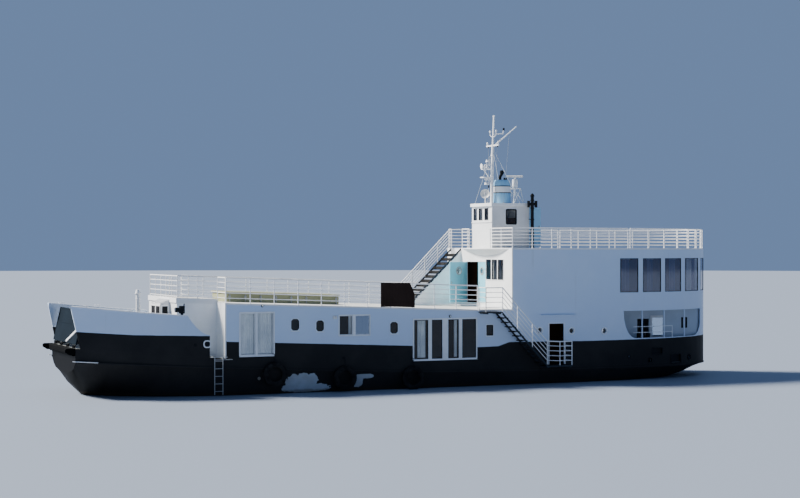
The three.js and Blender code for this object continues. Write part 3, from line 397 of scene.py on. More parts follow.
def paintMaterial(name, colour, roughness=0.42, dirt=0.25, rust=0.2, scale=1.0,
                  dirtColour=(0.20, 0.17, 0.13)):
    material, tree, shader = newMaterial(name, colour, roughness)
    dark = max(colour) <= paintWear["darkBelow"]
    shader.inputs["Specular IOR Level"].default_value = paintWear["darkShine" if dark else "shine"]
    place = objectPlace(tree)
    faded = [min(1, c * paintWear["fade"] + min(paintWear["fadeMost"], c * 0.1)) for c in colour]
    base = mixed(tree, useGroup(tree, blotches, Vector=place, Scale=0.8 * scale)["Mask"], colour, faded)
    dirty = useGroup(tree, streaks, Vector=place, Scale=4.0 * scale, Cover=0.5)["Mask"]
    base = laid(tree, dirty, dirt, base, dirtColour)
    bare = useGroup(tree, chips, Vector=place, Scale=7.0 * scale, Cover=rust)["Mask"]
    base = laid(tree, bare, paintWear["rustShare"], base, paintWear["rust"])
    tree.links.new(base, shader.inputs["Base Color"])
    worn = sums(tree, "ADD", sums(tree, "MULTIPLY", dirty, 0.18), sums(tree, "MULTIPLY", bare, 0.4))
    tree.links.new(sums(tree, "ADD", worn, roughness, clamp=True), shader.inputs["Roughness"])
    skin = noiseOf(tree, place, 16.0 * scale, 4.0)
    bumped(tree, shader, sums(tree, "SUBTRACT", skin, sums(tree, "MULTIPLY", bare, 0.6)), 0.12, 0.006)
    return material


# Materials

whiteMaterial = paintMaterial("white_paint", (0.78, 0.80, 0.81), 0.40, 0.22, 0.10)
railMaterial = paintMaterial("rail_white", (0.80, 0.81, 0.82), 0.38, 0.15, 0.28, 2.5)
# Grey paint, also used as a shaded copy of the white paint on the wheelhouse sides and the recess panel:
# painted shade
greyAndShadeMaterial = paintMaterial("grey_paint", (0.62, 0.64, 0.66), 0.45, 0.25, 0.10)
slateMaterial = paintMaterial("slate_paint", (0.030, 0.040, 0.052), 0.55, 0.3, 0.4)
gateMaterial = paintMaterial("gate_slate", (0.0055, 0.0105, 0.0165), 0.7, 0.06, 0.10)
# Near-black of the bow's nose, darker than the hull's black: painted shade where the nose lies in shadow
# under the gate
noseShadeMaterial = paintMaterial("nose_black", (0.0026, 0.0030, 0.0034), 0.8, 0.05, 0.10,
                             dirtColour=(0.020, 0.017, 0.014))
# Blue-grey of the recess walls: white paint made darker and bluer as painted shade inside the recess
recessShadeMaterial = paintMaterial("recess_paint", (0.40, 0.47, 0.56), 0.5, 0.3, 0.15)
blackMaterial = paintMaterial("black_paint", (0.012, 0.014, 0.017), 0.48, 0.25, 0.35, 1.5, (0.10, 0.09, 0.08))
blueMaterial = paintMaterial("blue_paint", (0.24, 0.50, 0.72), 0.38, 0.2, 0.08)
paleBlueMaterial = paintMaterial("pale_blue_paint", (0.20, 0.56, 0.70), 0.38, 0.2, 0.08)
brownMaterial = paintMaterial("brown_boards", (0.030, 0.019, 0.015), 0.6, 0.3, 0.0, 1.5, (0.06, 0.045, 0.035))
steelMaterial = paintMaterial("galvanised", (0.33, 0.35, 0.36), 0.42, 0.35, 0.35, 3.0)
dullMaterial = paintMaterial("dull_steel", (0.13, 0.125, 0.11), 0.6, 0.4, 0.4, 3.0)
sealMaterial = paintMaterial("window_seal", (0.020, 0.021, 0.024), 0.6, 0.3, 0.0, 3.0, (0.09, 0.09, 0.085))
greenMaterial = paintMaterial("hatch_cover", (0.27, 0.28, 0.16), 0.7, 0.45, 0.05, 1.5, (0.36, 0.34, 0.24))
creamMaterial = paintMaterial("hatch_edge", (0.62, 0.60, 0.47), 0.6, 0.4, 0.1, 1.5)
woodMaterial = paintMaterial("panel_wood", (0.070, 0.036, 0.018), 0.45, 0.35, 0.0, 2.0, (0.025, 0.013, 0.008))

# Ship's side: black below the line and white above, with old paint showing in patches near the water,
# growth under the water and worn deck paint on what faces up

sidePaint = {
    "halfLength": 17.5,
    "line": [(-17.15, 2.10), (-8.2, 2.05), (-3.9, 2.10), (-3.3, 1.91), (-2.15, 1.89),
             (10.48, 2.45), (10.5, 2.70), (14.5, 2.81), (17.15, 3.01)],   # where white starts, by length
    "lineSpan": 6.0,
    "patches": [((6.58, 0.24), (1.18, 0.19)), ((6.76, 0.47), (0.78, 0.43)), ((3.98, 0.48), (0.26, 0.30)),
                ((3.66, 0.68), (0.45, 0.11))],   # middle, and half its length and height
    "bootTop": 0.20,
}
# The side's white is a blue-tinted copy of the white paint: painted sky shade, as on the port side out of the
# sun
sideColours = {   # fresh, faded
    "white": ((0.54, 0.66, 0.84), (0.58, 0.69, 0.85)),
    "black": ((0.020, 0.020, 0.021), (0.027, 0.027, 0.027)),
    "old": ((0.46, 0.52, 0.58), (0.33, 0.34, 0.34)),
    "bottom": ((0.060, 0.022, 0.016), (0.030, 0.034, 0.016)),
    "deck": ((0.150, 0.165, 0.160), (0.230, 0.235, 0.220)),
}
sideWear = {   # share, colour
    "whiteRuns": (0.22, (0.30, 0.25, 0.19)),
    "whiteChips": (0.8, (0.20, 0.075, 0.03)),
    "blackRuns": (0.3, (0.040, 0.038, 0.035)),
    "blackChips": (0.55, (0.075, 0.032, 0.018)),
    "blackLow": (0.65, (0.036, 0.027, 0.018)),
    "oldLow": (0.6, (0.16, 0.12, 0.08)),
    "deckChips": (0.9, (0.16, 0.06, 0.03)),
}
# Painted shade: a deeper black for the hull's faces that look ahead
bowPaintedShade = (0.0028, 0.0030, 0.0034)   # black of the faces that look ahead
sideDecks = {"mooring": 0.75, "mooringFrom": -9.0, "fore": 1.675, "upTo": 2.4}

sideMaterial, tree, shader = newMaterial("ship_side", sideColours["white"][0], 0.4)
place = objectPlace(tree)
split = splitUp(tree, place)
half, span = sidePaint["halfLength"], sidePaint["lineSpan"]
lineCurve = put(tree, "FloatCurve", {"Value": ranged(tree, split[0], -half, half, gentle=False)})
points = [((x + half) / (2 * half), z / span) for x, z in sidePaint["line"]]
curve = lineCurve.mapping.curves[0]
curve.points[0].location = (0, points[0][1])
curve.points[1].location = (1, points[-1][1])
for x, z in points[1:-1]:
    curve.points.new(x, z)
for point in curve.points:
    point.handle_type = "VECTOR"
lineCurve.mapping.update()
lineHeight = sums(tree, "MULTIPLY", lineCurve.outputs[0], span)
wobble = noiseOf(tree, place, 2.5, 2.0)
lineHeight = sums(tree, "ADD", lineHeight, ranged(tree, wobble, 0, 1, -0.010, 0.010, False))
above = ranged(tree, sums(tree, "SUBTRACT", split[2], lineHeight), -0.008, 0.008)
runMask = useGroup(tree, streaks, Vector=place, Scale=2.6, Cover=0.55)["Mask"]
softMask = useGroup(tree, blotches, Vector=place, Scale=0.5)["Mask"]
chipMask = useGroup(tree, chips, Vector=place, Scale=6.0, Cover=0.35)["Mask"]
plateOut = useGroup(tree, plates, Vector=place, Length=2.45, Height=1.62, Buckle=0.75)
# Blue-tinted white of the side, as painted shade
white = mixed(tree, softMask, *sideColours["white"])
black = mixed(tree, softMask, *sideColours["black"])


def worn(mask, kind, under):
    share, over = sideWear[kind]
    return laid(tree, mask, share, under, over)


white = worn(chipMask, "whiteChips", worn(runMask, "whiteRuns", white))
black = worn(chipMask, "blackChips", worn(runMask, "blackRuns", black))
# Painted shade: the black goes darker on faces that look ahead
black = mixed(tree, ranged(tree, facing(tree, 0), 0.25, 0.6), black, bowPaintedShade)
ragged = ranged(tree, noiseOf(tree, place, 4.6, 8.0, Roughness=0.6), 0.25, 0.75, -0.55, 0.55, False)
bare = None
for middle, halves in sidePaint["patches"]:
    powers = []
    for axis, at, reach in zip((0, 2), middle, halves):
        away = sums(tree, "DIVIDE", sums(tree, "SUBTRACT", split[axis], at), reach)
        powers.append(sums(tree, "POWER", sums(tree, "ABSOLUTE", away), 3.0))
    far = sums(tree, "ADD", *powers)
    patch = ranged(tree, sums(tree, "ADD", far, ragged), 0.94, 1.0, 1.0, 0.0)
    bare = patch if bare is None else sums(tree, "MAXIMUM", bare, patch)
lowHeight = sums(tree, "ADD", split[2], sums(tree, "MULTIPLY", ragged, 0.08))
low = ranged(tree, lowHeight, 0.10, sidePaint["bootTop"], 1.0, 0.0)
black = worn(low, "blackLow", black)
old = worn(low, "oldLow", mixed(tree, softMask, *sideColours["old"]))
onPort = ranged(tree, split[1], 0.0, 0.1)
black = mixed(tree, sums(tree, "MULTIPLY", bare, onPort), black, old)
wet = ranged(tree, split[2], -0.12, -0.04, 1.0, 0.0)
black = mixed(tree, wet, black, mixed(tree, softMask, *sideColours["bottom"]))
overMooring = ranged(tree, split[2], sideDecks["mooring"], sideDecks["mooring"] + 0.03)
astern = ranged(tree, split[0], sideDecks["mooringFrom"], sideDecks["mooringFrom"] + 0.1, 1.0, 0.0)
onDeck = sums(tree, "MULTIPLY", overMooring, astern)
onDeck = sums(tree, "MAXIMUM", onDeck, ranged(tree, split[2], sideDecks["fore"], sideDecks["fore"] + 0.015))
onDeck = sums(tree, "MULTIPLY", onDeck, ranged(tree, facing(tree, 2), 0.8, 0.95))
underRail = ranged(tree, split[2], sideDecks["upTo"], sideDecks["upTo"] + 0.1, 1.0, 0.0)
onDeck = sums(tree, "MULTIPLY", onDeck, underRail)
deckColour = worn(chipMask, "deckChips", mixed(tree, softMask, *sideColours["deck"]))
colour = mixed(tree, onDeck, mixed(tree, above, black, white), deckColour)
tree.links.new(colour, shader.inputs["Base Color"])
rough = mixed(tree, above, (0.50, 0.50, 0.50), (0.36, 0.36, 0.36))
spoiled = sums(tree, "MULTIPLY", sums(tree, "ADD", runMask, chipMask), 0.2)
tree.links.new(sums(tree, "ADD", rough, spoiled, clamp=True), shader.inputs["Roughness"])
tree.links.new(ranged(tree, above, 0, 1, 0.03, 0.5, False), shader.inputs["Specular IOR Level"])
bumped(tree, shader, plateOut["Height"], 0.35, 0.012)

# Deck paint, worn where people walk, with white paint on its upright edges
deckMaterial, tree, shader = newMaterial("deck_paint", (0.55, 0.56, 0.53), 0.75)
place = objectPlace(tree)
dusty = useGroup(tree, blotches, Vector=place, Scale=0.9)["Mask"]
spots = useGroup(tree, chips, Vector=place, Scale=5.0, Cover=0.5)["Mask"]
colour = mixed(tree, dusty, (0.47, 0.48, 0.46), (0.63, 0.63, 0.60))
colour = laid(tree, spots, 0.7, colour, (0.17, 0.085, 0.045))
flat = ranged(tree, sums(tree, "ABSOLUTE", facing(tree, 2)), 0.4, 0.6)
tree.links.new(mixed(tree, flat, (0.76, 0.78, 0.80), colour), shader.inputs["Base Color"])
tree.links.new(ranged(tree, dusty, 0, 1, 0.85, 0.62, False), shader.inputs["Roughness"])
bumped(tree, shader, noiseOf(tree, place, 180.0, 3.0), 0.25, 0.002)

# Treads and gratings
treadMaterial, tree, shader = newMaterial("tread_steel", (0.02, 0.021, 0.022), 0.75)
shader.inputs["Specular IOR Level"].default_value = 0.1
place = objectPlace(tree)
bright = useGroup(tree, blotches, Vector=place, Scale=6.0)["Mask"]
rusty = useGroup(tree, chips, Vector=place, Scale=12.0, Cover=0.7)["Mask"]
colour = mixed(tree, bright, (0.012, 0.012, 0.013), (0.034, 0.033, 0.031))
tree.links.new(mixed(tree, rusty, colour, (0.13, 0.055, 0.028)), shader.inputs["Base Color"])
split = splitUp(tree, place)
weave = sums(tree, "MULTIPLY", sums(tree, "PINGPONG", split[0], 0.02), sums(tree, "PINGPONG", split[1], 0.02))
bumped(tree, shader, sums(tree, "MULTIPLY", weave, 2500.0), 0.5, 0.004)

# Rubber of the fenders
rubberMaterial, tree, shader = newMaterial("fender_rubber", (0.008, 0.008, 0.009), 0.85)
shader.inputs["Specular IOR Level"].default_value = 0.12
place = objectPlace(tree)
dusty = useGroup(tree, blotches, Vector=place, Scale=5.0)["Mask"]
colour = mixed(tree, dusty, (0.005, 0.005, 0.006), (0.018, 0.018, 0.018))
tree.links.new(colour, shader.inputs["Base Color"])
bumped(tree, shader, noiseOf(tree, place, 60.0, 6.0), 0.3, 0.003)

bronzeMaterial, tree, shader = newMaterial("screw_bronze", (0.50, 0.30, 0.11), 0.32, 1.0)
aged = useGroup(tree, blotches, Vector=objectPlace(tree), Scale=7.0)["Mask"]
tree.links.new(mixed(tree, aged, (0.55, 0.33, 0.12), (0.17, 0.16, 0.09)), shader.inputs["Base Color"])
tree.links.new(ranged(tree, aged, 0, 1, 0.28, 0.6, False), shader.inputs["Roughness"])

plasticMaterial, tree, shader = newMaterial("white_plastic", (0.80, 0.80, 0.78), 0.3)
aged = useGroup(tree, blotches, Vector=objectPlace(tree), Scale=3.0)["Mask"]
tree.links.new(mixed(tree, aged, (0.82, 0.82, 0.80), (0.68, 0.67, 0.62)), shader.inputs["Base Color"])


# Glass that mirrors at its edges and lets the cabin show; haze is how much it veils what is behind
def glassMaterial(name, tint, haze):
    material, tree, shader = newMaterial(name, tint, 0.04, 1.0)
    place = objectPlace(tree)
    bumped(tree, shader, noiseOf(tree, place, 1.3), 0.04, 0.02)
    smear = useGroup(tree, streaks, Vector=place, Scale=6.0, Cover=0.6)["Mask"]
    tree.links.new(ranged(tree, smear, 0, 1, 0.04, 0.3, False), shader.inputs["Roughness"])
    mirror = put(tree, "Fresnel", {"IOR": 1.5}).outputs[0]
    mirror = sums(tree, "ADD", sums(tree, "MULTIPLY", mirror, 0.9), haze)
    mirror = sums(tree, "ADD", mirror, sums(tree, "MULTIPLY", smear, 0.05), clamp=True)
    front = sums(tree, "SUBTRACT", 1.0, put(tree, "NewGeometry").outputs["Backfacing"])
    tree.links.new(sums(tree, "MULTIPLY", mirror, front), shader.inputs["Alpha"])
    return material


glassDark = glassMaterial("window_glass", (0.70, 0.80, 0.92), 0.0)
glassBlue = glassMaterial("window_glass_blue", (0.66, 0.72, 0.94), 0.13)
glassFrosted = glassMaterial("window_glass_frosted", (0.36, 0.46, 0.64), 0.42)
recessGlass = glassMaterial("recess_glass", (0.62, 0.76, 0.94), 0.62)
lampGlass = glassMaterial("lamp_glass", (0.92, 0.95, 0.96), 0.75)


def clothOf(name, pale, dark):
    material, tree, shader = newMaterial(name, pale, 0.9)
    place = objectPlace(tree)
    shade = useGroup(tree, blotches, Vector=place, Scale=1.5)["Mask"]
    tree.links.new(mixed(tree, shade, pale, dark), shader.inputs["Base Color"])
    split = splitUp(tree, place)
    warp, weft = (sums(tree, "PINGPONG", split[axis], 0.004) for axis in (0, 2))
    threads = sums(tree, "MULTIPLY", sums(tree, "ADD", warp, weft), 120.0)
    bumped(tree, shader, threads, 0.25, 0.001)
    shader.inputs["Sheen Weight"].default_value = 0.3
    return material


clothMaterial = clothOf("curtain_cloth", (0.80, 0.82, 0.80), (0.62, 0.65, 0.65))
navyCloth = clothOf("navy_cloth", (0.020, 0.018, 0.050), (0.05, 0.03, 0.05))
print("materials made")

# CAD nodes and their finishes

finishes = {
    # The nose takes its painted shade
    noseShadeMaterial: ["bow_nose"],
    sideMaterial: ["hull", "bulwark_port", "bulwark_starboard", "side_port_forward",
                   "side_starboard_forward", "side_port_aft", "side_starboard_aft"],
    whiteMaterial: ["front_house", "upper_front", "corbel", "wheelhouse_front", "wheelhouse_aft",
                    "wheelhouse_roof", "mast", "radar_stand", "foredeck_vent", "stair_panel", "gate_stay"],
    recessShadeMaterial: ["recess_bulkhead"],
    # The wheelhouse sides take grey as painted shade of their white paint
    greyAndShadeMaterial: ["wheelhouse_port", "wheelhouse_starboard", "door_side", "hood"],
    gateMaterial: ["bow_gate"],
    blackMaterial: ["bitts_port", "bitts_starboard", "stovepipe", "bulwark_lamp", "rudder"],
    blueMaterial: ["door_wheelhouse", "funnel"],
    paleBlueMaterial: ["door_front_left", "door_front_right"],
    deckMaterial: ["front_house_roof", "front_deck", "aft_floor", "roof_deck"],
    brownMaterial: ["screen"],
    greenMaterial: ["hatch"],
    bronzeMaterial: ["propeller"],
    plasticMaterial: ["dish", "radar_scanner"],
    steelMaterial: ["ladder"],
    rubberMaterial: ["tyre_port_1", "tyre_port_2", "tyre_port_3",
                     "tyre_starboard_1", "tyre_starboard_2", "tyre_starboard_3"],
    railMaterial: ["rail_roof_port", "rail_roof_starboard", "rail_roof_inner", "rail_roof_stern",
                   "rail_deck_port", "rail_deck_starboard", "rail_front_house", "stairs_starboard",
                   "stairs_port"],
}
for material, names in finishes.items():
    for name in names:
        node = frame["nodes"][name]
        if not node.material_slots:
            node.data.materials.append(material)
        for slot in node.material_slots:
            slot.link = "OBJECT"
            slot.material = material
print("finishes given to", sum(len(names) for names in finishes.values()), "nodes")


def finish(piece, material, body="ship", replaced=()):
    piece.data.materials.clear()
    piece.data.materials.append(material)
    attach(piece, body)
    if replaced:
        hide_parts(*replaced)
    return piece


# Made to port, and mirrored to starboard
def bothSides(name, parts, material, body="ship"):
    piece = finish(joined(name + "_port", parts), material, body)
    finish(mirrored(piece, name + "_starboard"), material, body)


# Camera and studio

camera = {"at": (32.6, 72.5, 6.6), "towards": (-0.407, -0.9135, 0.0), "lens": 72.3}
studio = {
    "floor": (0.21, 0.25, 0.315),
    "sky": (0.36, 0.56, 1.0),
    "skyStrength": 0.42,
    "sunStrength": 12.5,
    "sunColour": (1.0, 0.95, 0.88),
    "sunFrom": (0.72, -0.52, 0.78),
    "sunAngle": 14.0,
}
bpy.ops.object.camera_add(location=camera["at"])
eye = bpy.context.object
eye.rotation_euler = Vector(camera["towards"]).to_track_quat("-Z", "Y").to_euler()
eye.data.lens = camera["lens"]
eye.data.sensor_width = 36
eye.data.clip_end = 2000
bpy.context.scene.camera = eye

bpy.ops.mesh.primitive_circle_add(vertices=96, radius=420, fill_type="NGON", location=(0, 0, 0))
floor = bpy.context.object
floor.name = "floor"
floorMaterial, tree, shader = newMaterial("floor_pale", studio["floor"], 0.6)
floor.data.materials.append(floorMaterial)

bpy.ops.object.light_add(type="SUN", location=(30, -30, 40))
sun = bpy.context.object
sun.rotation_euler = Vector(studio["sunFrom"]).to_track_quat("Z", "Y").to_euler()
sun.data.energy = studio["sunStrength"]
sun.data.color = studio["sunColour"]
sun.data.angle = math.radians(studio["sunAngle"])

world = bpy.data.worlds.new("studio")
bpy.context.scene.world = world
world.use_nodes = True
background = world.node_tree.nodes["Background"]
background.inputs["Color"].default_value = (*studio["sky"], 1)
background.inputs["Strength"].default_value = studio["skyStrength"]
print("camera and studio set")

# Lines of the ship, in metres

upperDeck = [(-17.15, 3.62), (-2.2, 3.70), (12.41, 4.253)]
mainDeck = [(-17.15, 0.82), (-5.0, 0.82), (10.48, 1.70), (17.15, 2.25)]
roofTop = 6.65


def levelAt(line, x):
    i = 1
    while i < len(line) - 1 and line[i][0] < x:
        i += 1
    (x0, z0), (x1, z1) = line[i - 1], line[i]
    return z0 + (z1 - z0) * (x - x0) / (x1 - x0)


def sternPoint(degrees, inset=0.0):
    a = math.radians(degrees)
    return -10.65 - (6.5 - inset) * math.sin(a), (3.6 - inset) * math.cos(a)


def evenly(start, end, count):
    return [start + (end - start) * i / count for i in range(count + 1)]


# Railings

rail = {"bay": 1.12, "post": 0.022, "bar": 0.016, "top": 0.026, "barDrop": 0.013,
        "foot": [(0.05, 0), (0.05, 0.008), (0.030, 0.014)], "edge": 3.54}
roofRail = {"height": 1.0, "bars": 6, "front": -4.10}
deckRail = {"height": 1.16, "bars": 5, "front": 10.42, "houseFront": 12.3, "houseRise": 0.15}


def feetAlong(corners, level, bay, floorAt=lambda x: 0.0):
    feet = []
    for i in range(len(corners) - 1):
        (x0, y0), (x1, y1) = corners[i], corners[i + 1]
        count = max(1, round(math.hypot(x1 - x0, y1 - y0) / bay))
        run = [(x0 + (x1 - x0) * u, y0 + (y1 - y0) * u) for u in evenly(0, 1, count)]
        feet += run[1:] if i else run
    return [(x, y, level(x), floorAt(x)) for x, y in feet]


def railing(name, feet, kind, replaced=(), extra=()):
    rises = evenly(0, kind["height"], kind["bars"])[1:]
    top = rises.pop() - rail["top"]
    posts = bars([[(x, y, z + floor), (x, y, z + top)] for x, y, z, floor in feet], rail["post"], 4)
    runs = bars([[(x, y, z + rise - rail["barDrop"]) for x, y, z, floor in feet] for rise in rises],
                rail["bar"], 3)
    cap = bars([[(x, y, z + top) for x, y, z, floor in feet]], rail["top"], 4)
    flanges = [turned(rail["foot"], (x, y, z + floor), 12) for x, y, z, floor in feet if floor >= 0]
    piece = joined(name, [cap, posts, runs, *flanges, *extra])
    return finish(piece, railMaterial, "ship", replaced) if replaced else piece


def onRoof(x):
    return roofTop


def onUpper(x):
    return levelAt(upperDeck, x + 0.02)


def onHouse(x):
    return deckRail["houseRise"] if x > deckRail["front"] + 0.06 else 0.0


side, bay, roofFront = rail["edge"], rail["bay"], roofRail["front"]
deckFront, houseFront = deckRail["front"], deckRail["houseFront"]
houseLine = [(deckFront, 3.48), (deckFront, 2.3), (houseFront, 2.3),
             (houseFront, -2.3), (deckFront, -2.3), (deckFront, -3.48)]
railings = {
    "roof_port": (roofRail, feetAlong([(roofFront, 1.18), (roofFront, side), (-10.65, side)], onRoof, bay)),
    "roof_starboard": (roofRail, feetAlong([(-10.65, -side), (roofFront, -side), (roofFront, -3.23)], onRoof,
                                           bay)),
    "roof_inner": (roofRail, feetAlong([(roofFront, -1.97), (roofFront, -1.18)], onRoof, 0.8)),
    "roof_stern": (roofRail, [(*sternPoint(a, 0.06), roofTop, 0.0) for a in evenly(1.1, 178.9, 18)]),
    "deck_port": (deckRail, feetAlong([(deckFront, side), (-2.2, side)], onUpper, bay)),
    "deck_starboard": (deckRail, feetAlong([(deckFront, -side), (-3.97, -side)], onUpper, bay)),
    "front_house": (deckRail, feetAlong(houseLine, onUpper, 0.95, onHouse)),
}
for name, (kind, feet) in railings.items():
    railing("railing_" + name, feet, kind, ["rail_" + name])
print("railings made")

# Stairs: channel stringers with open steel treads between them

stairs = {"stringer": 0.11, "flange": 0.045, "web": 0.010, "bars": 7, "lip": 0.012}


def openTread(x0, x1, y0, y1, z, count, deep=0.035):
    lip = stairs["lip"]
    parts = [block((a, y0, z - deep), (a + lip, y1, z), 0) for a in (x0, x1 - lip)]
    for x in evenly(x0, x1, count + 1)[1:-1]:
        parts.append(block((x - 0.006, y0, z - 0.026), (x + 0.006, y1, z - 0.001), 0))
    for y in evenly(y0 + 0.005, y1 - 0.005, max(2, round((y1 - y0) / 0.18))):
        parts.append(block((x0, y - 0.004, z - 0.020), (x1, y + 0.004, z - 0.004), 0))
    return joined("tread", parts)


def flightParts(head, foot, y0, y1, steps, treadDeep):
    (x0, z0), (x1, z1) = head, foot
    way = 1 if x1 > x0 else -1
    deep, web = stairs["stringer"], stairs["web"]
    outline = [(x0, z0), (x0, z0 - deep), (x1 - way * deep * 0.6, z1), (x1 + way * deep * 0.4, z1)]
    top = [outline[0], (x0, z0 - 0.012), (x1 + way * (deep * 0.4 - 0.012), z1), outline[3]]
    low = [(x0, z0 - deep + 0.012), outline[1], outline[2], (x1 - way * (deep * 0.6 - 0.012), z1)]
    parts = []
    for y, inwards in ((y0, 1), (y1, -1)):
        for shapeOf, wide in ((outline, web), (top, stairs["flange"]), (low, stairs["flange"])):
            depths = sorted((3.6 - y, 3.6 - y - inwards * wide))
            parts.append(wallPlate(portSide, [shapeOf], *depths))
    first = None
    treads = []
    for u in evenly(1 / (steps + 1), steps / (steps + 1), steps - 1):
        x, z = x0 + (x1 - x0) * u, z0 - 0.06 + (z1 - z0) * u
        if first is None:
            first = (x, z)
            treads.append(openTread(x - 0.125, x + 0.125, y0 + web, y1 - web, z, stairs["bars"], treadDeep))
        else:
            treads.append(copied(treads[0], moved(x - first[0], 0, z - first[1])))
    return parts, treads


roofFlight = {"head": (-4.04, 6.64), "foot": (-1.05, onUpper(-0.67)), "y": (-3.20, -2.0), "railY": -3.182,
              "steps": 12}
(x0, z0), (x1, z1) = roofFlight["head"], roofFlight["foot"]
sides, treads = flightParts((x0, z0), (x1, z1), *roofFlight["y"], roofFlight["steps"], 0.15)
finish(joined("stairs_starboard_treads", treads), treadMaterial)
finish(joined("stairs_starboard_stringers", sides), slateMaterial)
flightFeet = [(x0 + 0.05 + (x1 - x0 - 0.09) * u, roofFlight["railY"], z0 + (z1 - z0) * u + 0.03,
               -0.09 if u < 1 else -0.03) for u in evenly(0, 1, 4)]
railing("stairs_starboard_rail", flightFeet, roofRail, ["stairs_starboard"])

stairRail = {"height": 1.18, "bars": 5, "foot": -0.055, "inset": 0.028}
walk = {"front": -2.2, "aft": -3.12, "top": 3.6, "platformFront": -5.56, "platformAft": -6.96,
        "platform": 0.95, "inner": 3.66, "outer": 4.4}
inner, outer = walk["inner"], walk["outer"]
sides, treads = flightParts((walk["aft"] + 0.02, walk["top"] - 0.005), (walk["platformFront"] - 0.02, 0.94),
                            inner, outer, 11, 0.05)
for x0, x1, z in ((walk["aft"], walk["front"], walk["top"]),
                  (walk["platformAft"], walk["platformFront"] + 0.06, walk["platform"])):
    treads.append(openTread(x0, x1, inner, outer, z, 22))
    lip, under = stairs["lip"], z - 0.06
    sides += [block((x0, y, under), (x1, y + lip, z), 0.003) for y in (inner - lip, outer - lip)]
    sides += [block((x, inner, under), (x + lip, outer, z), 0.003) for x in (x0, x1 - lip)]
    sides += [block((x - 0.03, 3.6, z - 0.11), (x + 0.03, outer, under), 0.006)
              for x in (x0 + 0.12, x1 - 0.12)]
finish(joined("stairs_port_treads", treads), treadMaterial)
finish(joined("stairs_port_stringers", sides), slateMaterial)
railY = outer - stairRail["inset"]
walkLine = [(-2.23, railY, 3.6), (-3.12, railY, 3.6), (-3.93, railY, 2.72), (-4.74, railY, 1.838),
            (-5.56, railY, 0.99), (-6.26, railY, 0.95), (-6.93, railY, 0.95), (-6.93, 3.7, 0.95)]
headLine = [(-2.23, 3.65, 3.6), (-2.23, railY, 3.6)]
walkFeet, headFeet = ([(*point, stairRail["foot"]) for point in line] for line in (walkLine, headLine))
headRail = railing("head_rail", headFeet, stairRail)
railing("stairs_port_rail", walkFeet, stairRail, ["stairs_port"], [headRail])
print("stairs made")

# Windows: frames, sashes and glass on a wall's plane

glazing = {"proud": 0.029, "sash": 0.030, "sashDepth": 0.045, "glassAt": 0.016, "glassThick": 0.008,
           "lap": 0.002, "sillHigh": 0.02, "sillProud": 0.05, "frostedFrom": 3.45}
lowerWindows = [   # x from, x to, z from, z to, rim, corner, mullions
    (8.19, 9.76, 1.82, 3.71, 0.060, 0.00, [(8.96, 9.06)]),
    (6.95, 7.34, 2.88, 3.41, 0.025, 0.11, []),
    (5.74, 6.12, 2.82, 3.32, 0.025, 0.11, []),
    (3.45, 4.98, 2.62, 3.53, 0.035, 0.00, [(4.18, 4.31)]),
    (2.02, 2.41, 2.64, 3.18, 0.025, 0.11, []),
    (-2.08, 1.18, 1.40, 3.25, 0.065, 0.00, [(0.26, 0.45), (-0.60, -0.29), (-1.34, -1.16)]),
    (-3.01, -2.63, 2.43, 2.95, 0.025, 0.04, []),
]


def windowParts(place, a0, a1, b0, b1, rim, corner, mullions=(), proud=None, sash=None):
    proud = glazing["proud"] if proud is None else proud
    sash = glazing["sash"] if sash is None else sash
    spans, at = [], a0
    for m0, m1 in sorted(mullions):
        spans.append((at, m0))
        at = m1
    spans.append((at, a1))
    panes = [rounded(p0, p1, b0, b1, corner) for p0, p1 in spans]
    inner = [rounded(p0 + sash, p1 - sash, b0 + sash, b1 - sash, max(0, corner - sash)) for p0, p1 in spans]
    reach = rim + glazing["lap"]
    outer = rounded(a0 - reach, a1 + reach, b0 - reach, b1 + reach, corner + rim * 0.8)
    frames = [wallPlate(place, [outer, *panes], -proud, 0.012, 0.003)]
    sashes = [wallPlate(place, [pane, hole], -0.004, glazing["sashDepth"], 0.002)
              for pane, hole in zip(panes, inner)]
    at = glazing["glassAt"]
    glass = [wallPlate(place, [hole], at, at + glazing["glassThick"]) for hole in inner]
    return frames, sashes, glass


# Frames, sashes and glass of several windows, kept apart
def together(*windows):
    return [sum(parts, []) for parts in zip(*windows)]


frames, sashes, glass = [], [], []
for x0, x1, z0, z1, rim, corner, mullions in lowerWindows:
    some = windowParts(portSide, x0, x1, z0, z1, rim, corner, mullions)
    frames += some[0]
    (frames if len(mullions) == 1 else sashes).extend(some[1])
    if x0 == glazing["frostedFrom"]:
        bothSides("double_window_pane", [some[2].pop(0)], glassFrosted)
    glass += some[2]
    foot = z0 - rim
    sill = rounded(x0 - rim, x1 + rim, foot - glazing["sillHigh"], foot)
    frames.append(wallPlate(portSide, [sill], -glazing["sillProud"], 0.0, 0.004))
bothSides("lower_window_frames", frames, whiteMaterial)
bothSides("lower_window_sashes", sashes, sealMaterial)
bothSides("lower_window_glass", glass, glassDark)


# Wall between two angles of the round stern, and its width
def sternWall(start, end):
    (ax, ay), (bx, by) = sternPoint(start), sternPoint(end)
    return onWall((bx, by, 0), (ax - bx, ay - by)), math.hypot(ax - bx, ay - by)


# Saloon windows: one on the straight side and four round the stern

saloon = {"straight": (-11.21, -10.15), "sill": 4.43, "head": 6.13, "proud": 0.004,
          "angles": [(7.6, 18.2), (20.8, 32.5), (36, 51.3), (56, 71)]}
sternWalls = [sternWall(*angles) for angles in saloon["angles"]]
places = [(portSide, *saloon["straight"]), *[(place, 0, width) for place, width in sternWalls]]
frames, sashes, glass = together(*[
    windowParts(place, a0, a1, saloon["sill"], saloon["head"], 0.0, 0.0, (), saloon["proud"])
    for place, a0, a1 in places])
bothSides("saloon_window_frames", frames + sashes, sealMaterial)
bothSides("saloon_window_glass", glass, glassBlue)

# Windows of the upper front, with white mullions, and of the front house

